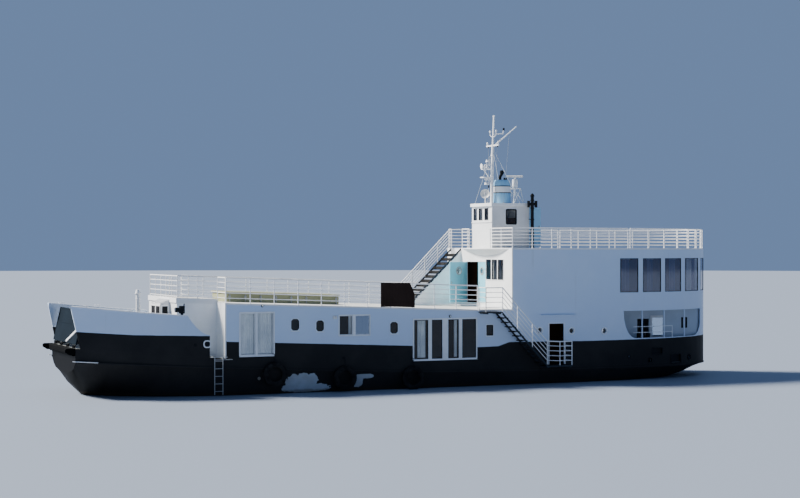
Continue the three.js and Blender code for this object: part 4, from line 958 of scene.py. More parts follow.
frontWindow = {"across": (-2.72, -0.86), "high": (5.08, 6.08), "mullions": [(-2.14, -2.07), (-1.49, -1.42)]}
houseWindow = {"at": (-1.5, 1.5), "half": 0.3, "high": (2.9, 3.55)}
upperWall = onWall((-4.04, 0, 0), (0, -1))
houseWall = onWall((12.35, 0, 0), (0, -1))
some = [windowParts(upperWall, *frontWindow["across"], *frontWindow["high"], 0.03, 0.0,
                    frontWindow["mullions"], 0.02)]
some += [windowParts(houseWall, y - houseWindow["half"], y + houseWindow["half"], *houseWindow["high"],
                     0.03, 0.06, (), 0.02) for y in houseWindow["at"]]
frames, sashes, glass = together(*some)
finish(joined("front_window_frames", frames), whiteMaterial)
finish(joined("front_window_sashes", sashes), sealMaterial)
finish(joined("front_window_glass", glass), glassDark)


# Eight bolt heads in a circle on a face that looks across the ship
def boltCircle(profile, centre, radius, towards, first=0.0):
    x, y, z = centre
    turns = [math.radians(45 * k + first) for k in range(8)]
    return [turned(profile, (x + radius * math.cos(a), y, z + radius * math.sin(a)), 8, towards)
            for a in turns]


# Portholes: a painted ring with its bolts, and a pane

portholes = {
    "places": [(-5.56, 2.62), (-7.35, 2.57), (-9.22, 2.53)],
    "ring": [(0.185, 0), (0.185, 0.012), (0.165, 0.030), (0.135, 0.030), (0.122, 0.010), (0.122, 0.0)],
    "bolt": [(0.014, 0), (0.014, 0.008), (0.008, 0.014)],
    "boltCircle": 0.155,
    "pane": [(0.118, 0), (0.124, 0.006), (0.118, 0.012)],
}
toPort = (0, 1, 0)
rings, panes = [], []
for x, z in portholes["places"]:
    rings.append(turned(portholes["ring"], (x, 3.612, z), 36, toPort, 30, True))
    rings += boltCircle(portholes["bolt"], (x, 3.638, z), portholes["boltCircle"], toPort)
    panes.append(turned(portholes["pane"], (x, 3.604, z), 36, toPort))
bothSides("porthole_rings", rings, railMaterial)
bothSides("porthole_panes", panes, glassDark)
print("windows made")

# Curtains: gathered cloth hung from a rod inside a window

drapes = {"pleatPoints": 10, "deep": 0.022, "deepFree": 0.040, "thick": 0.002, "rod": 0.008, "rodPast": 0.03}


def curtain(name, place, a0, a1, b0, b1, depth, folds, material, deep=drapes["deep"]):
    steps = folds * drapes["pleatPoints"]
    line = []
    for i in range(steps + 1):
        turn = 2 * math.pi * i / drapes["pleatPoints"]
        out = deep * (math.sin(turn) + 0.3 * math.sin(2.3 * turn + 1))
        line.append((a0 + (a1 - a0) * i / steps, out, 0))
    piece = drawn([line])
    piece.data.extrude = (b1 - b0) / 2
    piece = meshed(piece)
    hang = Matrix(((1, 0, 0, 0), (0, 0, 1, (b0 + b1) / 2), (0, 1, 0, depth), (0, 0, 0, 1)))
    piece.matrix_world = place @ hang
    settle(piece)
    shape(piece, "SOLIDIFY", thickness=drapes["thick"], offset=0)
    named(smooth(piece, 60), name)
    ends = [place @ Vector((a, b1 - 0.01, depth)) for a in (a0 - drapes["rodPast"], a1 + drapes["rodPast"])]
    rod = bars([ends], drapes["rod"], 3)
    rod.name = name + "_rod"
    finish(rod, steelMaterial)
    finish(piece, material)


curtains = [   # name, from, to, foot, head, depth, folds
    ("curtain_tall_forward", 9.08, 9.74, 1.86, 3.69, 0.09, 7),
    ("curtain_tall_aft", 8.21, 8.94, 1.86, 3.69, 0.09, 8),
    ("curtain_double", 4.33, 4.46, 2.64, 3.51, 0.14, 3),
    ("curtain_first_pane", 0.52, 0.94, 1.46, 3.22, 0.14, 4),
    ("curtain_third_pane", -1.14, -0.98, 1.46, 3.22, 0.14, 3),
]
for *row, depth, folds in curtains:
    deep = drapes["deepFree"] if depth > 0.1 else drapes["deep"]
    curtain(row[0], portSide, *row[1:], depth, folds, clothMaterial, deep)
curtain("curtain_upper_front", upperWall, -1.40, -1.16, 5.12, 6.05, 0.14, 4, clothMaterial)
foot, head = saloon["sill"] + 0.04, saloon["head"] - 0.03
curtain("curtain_saloon_1", portSide, -10.78, -10.36, foot, head, 0.16, 5, navyCloth)
shares = ((0.35, 0.68), (0.22, 0.62), (0.05, 0.30))   # of the width of the next three windows
for i, ((place, width), (share0, share1)) in enumerate(zip(sternWalls, shares)):
    curtain(f"curtain_saloon_{i + 2}", place, width * share0, width * share1, foot, head, 0.16, 4, navyCloth)
print("curtains made")

# Copies of the rounder solids, merged and shaded smooth, with the finish of the node

skins = [   # node, angle, slot, body
    ("hull", 38, "black_paint", "ship"),
    ("bow_nose", 30, "black_paint", "ship"),
    ("bulwark_port", 30, "white_paint", "ship"),
    ("bulwark_starboard", 30, "white_paint", "ship"),
    ("side_port_aft", 20, "white_paint", "ship"),
    ("side_starboard_aft", 20, "white_paint", "ship"),
    ("roof_deck", 20, "deck_paint", "ship"),
    ("corbel", 40, "white_paint", "ship"),
    ("mast", 40, "white_paint", "ship"),
    ("radar_stand", 40, "white_paint", "ship"),
    ("bitts_port", 40, "black_paint", "ship"),
    ("bitts_starboard", 40, "black_paint", "ship"),
    ("bulwark_lamp", 40, "black_paint", "ship"),
    ("foredeck_vent", 40, "white_paint", "ship"),
    ("ladder", 50, "grey_paint", "ship"),
    ("propeller", 40, "screw_bronze", "screw"),
    ("rudder", 40, "black_paint", "rudder_blade"),
]
for name, angle, slotName, body in skins:
    node = frame["nodes"][name]
    pick(node)
    bpy.ops.object.duplicate()
    piece = bpy.context.object
    bpy.ops.object.parent_clear(type="CLEAR_KEEP_TRANSFORM")
    if "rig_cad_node" in piece:
        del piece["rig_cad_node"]
    settle(named(piece, name + "_skin"))
    bpy.ops.mesh.customdata_custom_splitnormals_clear()
    smooth(outwards(piece), angle)
    finish(piece, node.material_slots[0].material, body, [name])
print("skins made")

# Doors: raised border, window with a ring on both faces, lever handle and kick plate

doors = [   # node, hinge, u, v, width, height, open, window (u, z, radius), paint, slot, body
    ("door_front_left", (-4.01, -1.35, 3.89), (0, 1), (1, 0), 1.315, 2.06, 68, (0.65, 1.60, 0.17),
     paleBlueMaterial, "pale_blue_paint", "front_left_leaf"),
    ("door_front_right", (-4.01, 0.795, 3.89), (0, -1), (1, 0), 0.835, 2.06, 0, (0.42, 1.60, 0.17),
     paleBlueMaterial, "pale_blue_paint", "front_right_leaf"),
    ("door_side", (-6.085, 3.51, 0.87), (-1, 0), (0, -1), 0.835, 2.07, 90, None,
     greyAndShadeMaterial, "grey_paint", "side_leaf"),
    ("door_wheelhouse", (-6.38, 1.028, 6.71), (0, -1), (-1, 0), 0.698, 1.99, 90, None,
     blueMaterial, "blue_paint", "wheelhouse_leaf"),
]
leafShape = {"start": 0.013, "play": 0.008, "gap": 0.003, "outer": -0.035, "inner": -0.080, "border": 0.075,
             "raise": 0.007, "kickFrom": 0.86, "kickTo": 0.94}
lever = {"z": 1.02, "inset": 0.085, "plate": 0.008, "reach": 0.036, "long": 0.11, "bar": 0.009}


def leafPlane(v):
    return Matrix(((1, 0, 0, 0), (0, 0, 1, v), (0, 1, 0, 0), (0, 0, 0, 1)))


for name, at, u, v, width, height, opened, window, paint, slotName, body in doors:
    a0, a1 = leafShape["start"] + leafShape["gap"], width - leafShape["play"] - leafShape["gap"]
    b0 = leafShape["play"] + leafShape["gap"]
    b1 = height - b0
    wide, lift = leafShape["border"], leafShape["raise"]
    border = [rounded(a0, a1, b0, b1), rounded(a0 + wide, a1 - wide, b0 + wide, b1 - wide, 0.03)]
    handle, z = a1 - lever["inset"], lever["z"]
    skin, metal, glass = [], [], []
    for face, out in ((leafShape["outer"], 1), (leafShape["inner"], -1)):
        skin.append(cutPlate(border, lift, leafPlane(face + out * lift / 2), 0.002))
        near, far = sorted((face, face + out * lift))
        skin.append(block((a0 + wide - 0.01, near, leafShape["kickFrom"]),
                          (a1 - wide + 0.01, far, leafShape["kickTo"]), 0.002))
        near, far = sorted((face, face + out * lever["plate"]))
        metal.append(block((handle - 0.022, near, z - 0.09), (handle + 0.022, far, z + 0.05), 0.002))
        tip = face + out * lever["reach"]
        metal.append(bars([[(handle, face, z), (handle, tip, z), (handle - lever["long"], tip, z - 0.006)]],
                          lever["bar"], 4))
        if window:
            cu, cz, r = window
            ring = [(r + 0.045, 0), (r + 0.045, 0.010), (r + 0.025, 0.020), (r - 0.010, 0.020),
                    (r - 0.014, 0.0)]
            metal.append(turned(ring, (cu, face, cz), 40, (0, out, 0), 30, True))
            metal += boltCircle([(0.008, 0), (0.008, 0.005), (0.004, 0.009)], (cu, face + out * 0.014, cz),
                                r + 0.035, (0, out, 0), 22.5)
    if window:
        glass.append(turned([(r - 0.006, 0), (r, 0.004), (r - 0.006, 0.008)], (cu, -0.0615, cz), 40, toPort))
    if name == "door_wheelhouse":
        skin.append(block((a0 - 0.001, -0.086, b1 - 0.10), (a1 + 0.001, -0.029, b1 + 0.002), 0.003))
    swing = Matrix(((u[0], v[0], 0, 0), (u[1], v[1], 0, 0), (0, 0, 1, 0), (0, 0, 0, 1)))
    for suffix, parts, material, partSlot in (("_panels", skin, paint, slotName),
                                              ("_fittings", metal, steelMaterial, "grey_paint"),
                                              ("_glass", glass, lampGlass, "white_plastic")):
        if parts:
            piece = joined(name + suffix, parts)
            piece.matrix_world = moved(*at) @ swing @ rotated(opened)
            finish(outwards(settle(piece)), material, body)
print("doors made")

# Funnel with its white band, and dark uptakes with a ball head

funnel = {"x": -5.38, "foot": 8.9003, "radius": 0.46, "high": 1.06, "topRadius": 0.425, "band": (0.56, 0.88),
          "edge": 0.022}


def funnelRadius(z):
    return funnel["radius"] + (funnel["topRadius"] - funnel["radius"]) * z / funnel["high"]


def roundFunnel(profile, angle=30, ring=True):
    return turned(profile, (funnel["x"], 0, funnel["foot"]), 64, (0, 0, 1), angle, ring)


top = funnel["foot"]
casing = [(funnel["radius"], 0), (funnel["topRadius"], funnel["high"]), (0.415, 1.10), (0.390, 1.16),
          (0.360, 1.20), (0.335, 1.20), (0.325, 1.16), (0.2, 1.15)]
parts = [roundFunnel(casing, 50, False), roundFunnel([(0.475, 0), (0.475, 0.03), (0.458, 0.04), (0.455, 0)])]
finish(joined("funnel_casing", parts), blueMaterial, "ship", ["funnel"])
z0, z1 = funnel["band"]
r0, r1 = funnelRadius(z0), funnelRadius(z1)
band = roundFunnel([(r0 + 0.004, z0), (r1 + 0.004, z1), (r1 - 0.01, z1), (r0 - 0.01, z0)])
finish(band, whiteMaterial).name = "funnel_band"
edges = []
for z in (z0 - 0.01, z1 + 0.01):
    r, low, high = funnelRadius(z), z - funnel["edge"], z + funnel["edge"]
    edges.append(roundFunnel([(r + 0.008, low), (r + 0.008, high), (r - 0.01, high), (r - 0.01, low)]))
finish(joined("funnel_band_edges", edges), slateMaterial)
bent = [(-5.26, 0, top + 1.12), (-5.26, 0, top + 1.34), (-5.29, 0, top + 1.42), (-5.37, 0, top + 1.52)]
ball = [(0.085, 0), (0.105, 0.05), (0.105, 0.13), (0.085, 0.19), (0.05, 0.20)]
stub = [(0.10, 0), (0.10, 0.03), (0.085, 0.04), (0.085, 0.19), (0.07, 0.19), (0.06, 0.10)]
uptakes = [bars([bent], 0.078, 8), turned(ball, (-5.37, 0, top + 1.50), 24),
           turned(stub, (-5.53, 0.06, top + 1.13), 24)]
finish(joined("funnel_uptakes", uptakes), blackMaterial)

# Mast lights, horn, arms and rigging blocks on the mast's own platforms

mast = {
    "x": -4.79,
    "lights": [(-4.50, 9.86, 0.105, 0.34), (-4.56, 10.67, 0.095, 0.44)],   # x, z, radius, height
    "horn": (-4.39, 0, 10.79),
    "armX": -4.87,
    "yardX": -4.855,
    "yard": 11.75,
    "shelf": 0.5,
    "lean": 0.0218,
}
white, dark, clear = [], [], []
for x, z, r, high in mast["lights"]:
    white.append(turned([(r + 0.012, 0), (r + 0.012, 0.03), (r, 0.04), (r, 0.10)], (x, 0, z), 24))
    clear.append(turned([(r - 0.004, 0), (r - 0.004, high - 0.22)], (x, 0, z + 0.10), 24))
    white.append(turned([(r + 0.01, 0), (r + 0.01, 0.03), (r * 0.6, 0.08), (0.02, 0.10)],
                        (x, 0, z + high - 0.12), 24))
bell = [(0.045, 0), (0.045, 0.04), (0.06, 0.08), (0.118, 0.185), (0.129, 0.19), (0.112, 0.185), (0.05, 0.07)]
white.append(turned(bell, mast["horn"], 28, (1, 0, 0)))
armX, yardX, front = mast["armX"], mast["yardX"], mast["x"] + mast["shelf"]
for side in (-1, 1):
    arm = [(0, 12.30), (0.20, 12.30), (0.32, 12.38), (0.34, 12.52)]
    white.append(bars([[(armX, side * y, z) for y, z in arm]], 0.014, 4))
    white.append(turned([(0.03, 0), (0.045, 0.03), (0.045, 0.09), (0.02, 0.12)],
                        (armX, side * 0.34, 12.50), 16))
    white.append(turned([(0.02, 0), (0.02, 0.05), (0.045, 0.06), (0.045, 0.15), (0.015, 0.17)],
                        (yardX, side * 0.60, 11.87), 16))
    dark.append(turned([(0.026, 0), (0.034, 0.02), (0.034, 0.06), (0.02, 0.075)],
                       (yardX, side * 0.5, 11.74), 12))
    for y in (side * 0.17, side * 0.15):
        white.append(bars([[(mast["x"] + 0.03, y, 10.65), (front, y, 10.65), (front, y, 10.80)]], 0.009, 3))
    guard = [(front, side * 0.2, 10.67), (front, side * 0.2, 10.86), (mast["x"], side * 0.2, 10.86)]
    white.append(bars([guard], 0.011, 3))
dark.append(turned([(0.03, 0), (0.05, 0.03), (0.05, 0.11), (0.03, 0.14)], (-5.475, 0, 12.62), 16))
dark.append(turned([(0.035, -0.06), (0.035, 0.06)], (-4.343, 0.54, 9.74), 12, (-0.22, -0.25, 1)))
white += [turned([(0.10, 0), (0.10, 0.02), (0.088, 0.03)], (mast["x"] - mast["lean"] * k, 0, 9.3 + k), 24)
          for k in range(3)]
finish(joined("mast_lights", white), railMaterial)
finish(joined("mast_blocks", dark), blackMaterial)
finish(joined("mast_lenses", clear), lampGlass)

halyards = {   # from the yard or the gaff, to a pin on the wheelhouse roof
    "port": ((yardX, 0.5, mast["yard"]), (-4.80, 0.36, 8.93)),
    "starboard": ((yardX, -0.5, mast["yard"]), (-4.80, -0.36, 8.93)),
    "gaff": ((-5.80, 0, 12.49), (-5.20, 0.50, 8.91)),
}
pins = []
for word, (head, foot) in halyards.items():
    line = [tuple(a + (b - a) * u for a, b in zip(head, foot)) for u in evenly(0, 1, 24)]
    wire = bars([line], 0.005, 3)
    wire.name = "signal_halyard_" + word
    finish(wire, steelMaterial)
    x, y = foot[:2]
    pins.append(block((x - 0.04, y - 0.02, 8.9), (x + 0.04, y + 0.02, 8.945), 0.004))
finish(joined("halyard_pins", pins), steelMaterial)

# Dish: thin bowl with its feed arm, on the pole and bracket of the solid one

dish = {
    "axis": (0.58, 0.79, 0.2), "centre": (-4.37, 0.10, 9.38), "pole": (-4.40, 0.06), "foot": 8.9003,
    "focus": 0.24,
    "bowl": [(0.045, -0.03), (0.12, -0.012), (0.19, 0.018), (0.235, 0.055), (0.236, 0.062), (0.228, 0.060),
             (0.185, 0.026), (0.12, -0.003), (0.03, -0.020)],
}
axis, centre = Vector(dish["axis"]).normalized(), Vector(dish["centre"])
px, py = dish["pole"]
feed = centre + axis * dish["focus"]
bowl = [turned(dish["bowl"], centre, 48, axis, 50), bars([[(px, py, 8.92), (px, py, 9.40)]], 0.030, 6),
        bars([[(px, py, 9.36), centre - axis * 0.015]], 0.032, 6),
        turned([(0.075, 0), (0.075, 0.012), (0.035, 0.02)], (px, py, dish["foot"]), 20),
        bars([[centre + Vector((0, 0, -0.2)) + axis * 0.03, feed - Vector((0, 0, 0.02))]], 0.008, 4),
        turned([(0.022, -0.03), (0.028, 0), (0.028, 0.05), (0.018, 0.06)], feed, 16, -axis)]
finish(joined("dish_bowl", bowl), plasticMaterial, "ship", ["dish"])

# Radar scanner: a rounded array on a short hub

scannerAt = {"pivot": (-6.12, 0, 10.2), "turn": 55}
array = block((-0.058, -0.418, 0.056), (0.058, 0.418, 0.144), 0.026)
lip = block((0.046, -0.39, 0.080), (0.060, 0.39, 0.120), 0.004)
hub = turned([(0.055, 0.0005), (0.055, 0.02), (0.045, 0.035), (0.05, 0.06)], (0, 0, 0), 28)
scanner = joined("radar_array", [array, lip, hub])
scanner.matrix_world = moved(*scannerAt["pivot"]) @ rotated(scannerAt["turn"])
finish(settle(scanner), plasticMaterial, "scanner", ["radar_scanner"])
print("top made")

# Wheelhouse: bridge windows, side windows, ledge, roof edge and what shows through the glass

bridge = {"windows": ((-0.93, -0.52), (-0.34, 0.08), (0.30, 0.73)), "high": (8.05, 8.65),
          "ledge": (7.93, 7.97), "side": (-5.60, -5.05, 7.86, 8.57)}
bridgeWall = onWall((-4.23, 0, 0), (0, -1))
sideWall = onWall((0, 1.1, 0), (1, 0))
frames, sashes, glass = together(*[
    windowParts(bridgeWall, -y1, -y0, *bridge["high"], 0.022, 0.03, (), 0.014, 0.024)
    for y0, y1 in bridge["windows"]])
frames.append(wallPlate(bridgeWall, [rounded(-1.10, 1.10, *bridge["ledge"])], -0.035, 0.0, 0.008))
some = windowParts(sideWall, *bridge["side"], 0.035, 0.05, (), 0.014, 0.03)
finish(joined("bridge_frames", frames), whiteMaterial)
finish(joined("bridge_sashes", sashes), sealMaterial)
finish(joined("bridge_glass", glass), glassDark)
bothSides("wheelhouse_side_frame", some[0] + some[1], sealMaterial)
bothSides("wheelhouse_side_glass", some[2], glassDark)

visor = {"line": [(-6.40, -1.18), (-4.17, -1.18), (-4.11, -0.65), (-4.11, 0.65), (-4.17, 1.18),
                  (-6.40, 1.18)],
         "inset": 0.012, "beads": (8.885, 8.765), "bead": 0.014}


def ringOf(points, inset, z):
    cx = sum(x for x, y in points) / len(points)
    return [(x - math.copysign(inset, x - cx), y - math.copysign(inset, y), z) for x, y in points]


loops = [ringOf(visor["line"], visor["inset"], z) for z in visor["beads"]]
finish(joined("wheelhouse_roof_edge", [bars([loop + loop[:1]], visor["bead"], 4) for loop in loops]),
       whiteMaterial)
helm = [((-4.75, -0.95, 6.66), (-4.34, 0.95, 7.55), 0.02), ((-4.80, -0.98, 7.55), (-4.32, 0.98, 7.60), 0.01),
        *[((-4.72, y - 0.14, 7.60), (-4.50, y + 0.14, 7.86), 0.02) for y in (-0.6, 0.55)]]
lockers = [((-6.0, -1.04, 6.66), (-5.0, -0.84, 8.62), 0.015), ((-6.25, -1.0, 6.66), (-5.9, -0.1, 8.2), 0.015)]
stool = [(0.05, 0), (0.05, 0.5), (0.16, 0.52), (0.16, 0.56), (0.04, 0.57)]
console = [block(*corners) for corners in helm]
console.append(turned(stool, (-4.95, 0, 7.0), 24))
console += [block(*corners) for corners in lockers]
finish(joined("wheelhouse_console", console), woodMaterial)
print("wheelhouse made")

# Panelled bulkheads and furniture that show through the cabin windows

lining = {"bay": 0.9, "thick": 0.02, "raise": 0.012, "stile": 0.02, "rail": 0.03}


def panelled(name, x0, x1, y, z0, z1, out, material):
    near, far = sorted((y, y - out * lining["thick"]))
    parts = [block((x0, near, z0), (x1, far, z1), 0)]
    near, far = sorted((y, y + out * lining["raise"]))
    for x in evenly(x0, x1, round((x1 - x0) / lining["bay"])):
        parts.append(block((x - lining["stile"], near, z0), (x + lining["stile"], far, z1), 0.003))
    for z in (z0 + 0.08, z0 + (z1 - z0) * 0.4, z1 - 0.06):
        parts.append(block((x0, near, z - lining["rail"]), (x1, far, z + lining["rail"]), 0.003))
    return finish(joined(name, parts), material)


for side, word in ((1, "port"), (-1, "starboard")):
    panelled(f"lower_lining_{word}_aft", -9.9, 3.0, side * 1.7, 1.30, 3.54, side, woodMaterial)
    panelled(f"lower_lining_{word}_forward", 3.0, 10.2, side * 1.7, 1.68, 3.78, side, woodMaterial)
    panelled(f"saloon_lining_{word}", -16.3, -9.0, side * 0.30, 3.66, 6.50, side, woodMaterial)
across = [   # x, from y, to y, foot, head, thickness
    (-9.05, -3.4, 3.4, 3.66, 6.5, 0.05),
    (-4.9, 0.9, 3.4, 3.66, 6.5, 0.05),
    (-4.9, -3.4, -1.45, 3.66, 6.5, 0.05),
    (-6.9, -1.6, 1.1, 3.66, 6.5, 0.05),
    (10.15, -3.45, 3.45, 1.75, 4.0, 0.03),
    (2.95, -3.45, 3.45, 1.30, 3.78, 0.03),
    (-3.6, -3.45, 3.45, 1.0, 3.5, 0.03),
    (10.6, -2.2, 2.2, 2.0, 4.0, 0.05),
]
cross = [block((x, y0, z0), (x + thick, y1, z1), 0) for x, y0, y1, z0, z1, thick in across]
finish(joined("cross_bulkheads", cross), woodMaterial)
pedestal = [(0.25, 0), (0.25, 0.02), (0.04, 0.05), (0.04, 0.68), (0.4, 0.70), (0.4, 0.735)]
tableAt = {"places": ((-12.6, 1.9), (-14.2, 1.5)), "floor": 3.651}
tables = [turned(pedestal, (x, side * y, tableAt["floor"]), 24) for side in (1, -1)
          for x, y in tableAt["places"]]
finish(joined("saloon_tables", tables), woodMaterial)
print("linings made")

# Tyres: one tread and carcass, hung by five links from an eye

tyre = {
    "places": [(8.17, 0.92), (4.75, 0.65), (1.30, 0.54)], "y": 3.7653, "lugs": 40, "links": 5, "pitch": 0.082,
    "linkFrom": 0.53,
    "section": [(0.415, -0.108), (0.50, -0.098), (0.553, -0.078), (0.563, -0.03), (0.563, 0.03),
                (0.553, 0.078), (0.50, 0.098), (0.415, 0.108), (0.345, 0.085), (0.322, 0.055),
                (0.340, 0.045), (0.42, 0.08), (0.50, 0.07), (0.54, 0.0), (0.50, -0.07), (0.42, -0.08),
                (0.340, -0.045), (0.322, -0.055), (0.345, -0.085)],
}


def cleared(*pieces):
    pick(*pieces)
    bpy.ops.object.delete()


carcass = turned(tyre["section"], (0, 0, 0), 72, toPort, 50, True)
lug = block((0.555, -0.070, -0.016), (0.5695, -0.006, 0.016), 0.003)
lugs = []
for k in range(tyre["lugs"]):
    for j in (0, 1):
        turn = rotated((k + j / 2) * 360 / tyre["lugs"], "Y")
        lugs.append(copied(lug, turn @ moved(0, j * 0.076, 0)))
cleared(lug)
tyreModel = joined("tyre_model", [carcass, *lugs])
bpy.ops.mesh.primitive_torus_add(major_radius=0.034, minor_radius=0.009, major_segments=20, minor_segments=8)
link = bpy.context.object
link.scale = (1, 1.5, 1)
smooth(settle(link), 60)
links = []
for k in range(tyre["links"]):
    place = moved(0, 0, tyre["linkFrom"] + k * tyre["pitch"])
    links.append(copied(link, place @ rotated(90 * (k % 2)) @ rotated(90, "X")))
chainModel = joined("chain_model", links)
cleared(link)
for i, (x, z) in enumerate(tyre["places"]):
    for side, word in ((1, "port"), (-1, "starboard")):
        at = moved(x, side * tyre["y"], z)
        piece = copied(tyreModel, at)
        piece.name = f"tyre_{word}_{i + 1}_carcass"
        finish(piece, rubberMaterial, "ship", [f"tyre_{word}_{i + 1}"])
        chain = copied(chainModel, at)
        eyeZ = z + tyre["linkFrom"] + tyre["links"] * tyre["pitch"] - 0.03
        near, far = sorted((side * 3.6, side * 3.612))
        plate = block((x - 0.06, near, eyeZ - 0.04), (x + 0.06, far, eyeZ + 0.05), 0.003)
        eyeBar = bars([[(x, side * 3.60, eyeZ), (x, side * 3.775, eyeZ)]], 0.012, 4)
        finish(joined(f"tyre_chain_{word}_{i + 1}", [chain, plate, eyeBar]), blackMaterial)
cleared(tyreModel, chainModel)
print("tyres made")

# Hatch boards, battens and wedges

hatch = {"x": (3.95, 9.65), "half": 1.15, "top": 0.455, "boards": 15, "thick": 0.026, "edgeDrop": 0.018}
hatchSides = {"wedge": (1.10, 1.15), "cleat": (1.10, 1.18)}
slope = math.atan2(onUpper(9.65) - onUpper(3.95), 9.65 - 3.95)
boards, wedges = [], []
step = (hatch["x"][1] - hatch["x"][0]) / hatch["boards"]
for k in range(hatch["boards"]):
    x = hatch["x"][0] + step * (k + 0.5)
    base = levelAt(upperDeck, x)
    halfLong, halfWide = step / 2 - 0.006, hatch["half"] - 0.015
    board = block((-halfLong, -halfWide, 0), (halfLong, halfWide, hatch["thick"]), 0.006)
    board.matrix_world = moved(x, 0, base + hatch["top"]) @ Matrix.Rotation(-slope, 4, "Y")
    boards.append(settle(board))
    if k % 2 == 0:
        for side in (-1, 1):
            near, far = sorted(side * y for y in hatchSides["wedge"])
            wedges.append(block((x - 0.05, near, base + 0.20), (x + 0.05, far, base + 0.30), 0.006))
            near, far = sorted(side * y for y in hatchSides["cleat"])
            wedges.append(block((x - 0.015, near, base + 0.02), (x + 0.015, far, base + 0.36), 0.004))


def hatchEdge(x):
    return levelAt(upperDeck, x) + hatch["top"] - hatch["edgeDrop"]


edges = [bars([[(x, side * (hatch["half"] + 0.004), hatchEdge(x)) for x in hatch["x"]]], 0.016, 4)
         for side in (-1, 1)]
edges += [bars([[(x, side * hatch["half"], hatchEdge(x)) for side in (-1, 1)]], 0.016, 4) for x in hatch["x"]]
finish(joined("hatch_boards", boards), greenMaterial)
finish(joined("hatch_wedges", wedges), steelMaterial)
finish(joined("hatch_edge", edges), creamMaterial)

# Screen: upright boards on both faces, cut to its sloping top

screen = {"faces": (3.5603, 3.5853), "x": (1.126, 2.87), "board": 0.145, "thick": 0.008, "bend": 1.37,
          "top": [(1.126, 4.45), (1.37, 5.01), (2.87, 5.03)]}


def screenTop(x):
    return x, levelAt(screen["top"], x) - 0.004


boards = []
xs = evenly(*screen["x"], round((screen["x"][1] - screen["x"][0]) / screen["board"]))
for x0, x1 in zip(xs, xs[1:]):
    a, b = x0 + 0.003, x1 - 0.003
    outline = [(a, onUpper(a) + 0.02), (b, onUpper(b) + 0.02), screenTop(b)]
    if a < screen["bend"] < b:
        outline.append(screenTop(screen["bend"]))
    outline.append(screenTop(a))
    for face, out in zip(screen["faces"], (-screen["thick"], screen["thick"])):
        boards.append(wallPlate(portSide, [outline], *sorted((3.6 - face, 3.6 - face - out)), 0.002))
finish(joined("screen_boards", boards), brownMaterial)
print("deck pieces made")

# Stovepipe with collars and an open cowl on two arms

stove = {"at": (-6.40, 1.33), "foot": 6.6503, "radius": 0.082, "collars": (7.35, 8.05, 8.62, 9.02),
         "cowl": 0.21, "cowlZ": 8.86, "arms": (7.40, 8.10)}
sx, sy = stove["at"]
pipe = [(0.12, 0), (0.12, 0.03), (0.088, 0.05), (stove["radius"], 0.06), (stove["radius"], 2.56),
        (0.09, 2.58), (0.105, 2.60), (0.105, 2.64), (0.06, 2.72), (0.02, 2.75)]
collar = [(0.084, 0), (0.100, 0.012), (0.100, 0.05), (0.084, 0.062)]
mouth = [(0.080, 0), (0.080, 0.02), (0.074, 0.03), (0.074, 0.30), (0.080, 0.31), (0.080, 0.33), (0.070, 0.33),
         (0.068, 0.25)]
parts = [turned(pipe, (sx, sy, stove["foot"]), 32)]
parts += [turned(collar, (sx, sy, z), 32) for z in stove["collars"]]
parts.append(turned([(0.066, 0), (0.066, 2 * stove["cowl"])], (sx - stove["cowl"], sy, stove["cowlZ"]), 24,
                    (1, 0, 0)))
parts += [turned(mouth, (sx + side * stove["cowl"], sy, stove["cowlZ"] - 0.165), 24) for side in (-1, 1)]
parts.append(bars([[(sx, sy, z), (sx + 0.08, 1.10, z)] for z in stove["arms"]], 0.016, 4))
finish(joined("stovepipe_flue", parts), blackMaterial, "ship", ["stovepipe"])

# Roof edge, deck edge and bulwark capping as half-hidden pipes

edging = {"y": 3.585, "front": -4.06, "radius": 0.020, "roofDrop": 0.022, "deckY": 3.598, "deckDrop": 0.028}
edgeLoop = [(edging["front"], -edging["y"]), (-10.65, -edging["y"])]
edgeLoop += [sternPoint(a, 0.021) for a in evenly(178, 2, 60)]
edgeLoop += [(-10.65, edging["y"]), (edging["front"], edging["y"])]
pipes = [bars([[(x, y, roofTop - edging["roofDrop"]) for x, y in edgeLoop]], edging["radius"], 4)]
pipes += [bars([[(x, side * edging["deckY"], levelAt(upperDeck, x) - edging["deckDrop"])
                 for x in evenly(10.42, -4.0, 12)]], edging["radius"], 4) for side in (-1, 1)]
finish(joined("deck_edging", pipes), whiteMaterial)

wingLine = [(11.18, 2.75), (11.35, 2.93), (11.55, 3.18), (11.80, 3.43), (12.2, 3.65), (14.15, 3.81),
            (17.13, 4.10)]


def halfAt(x):
    u = max(0.0, (x - 10.48) / 6.67)
    return 3.6 - 1.17 * u * u


capping = [bars([[(x, side * (halfAt(x) - 0.002), levelAt(wingLine, x) - 0.022)
                  for x in evenly(12.2, 17.12, 14)]], 0.034, 5) for side in (-1, 1)]
finish(joined("bulwark_capping", capping), railMaterial)
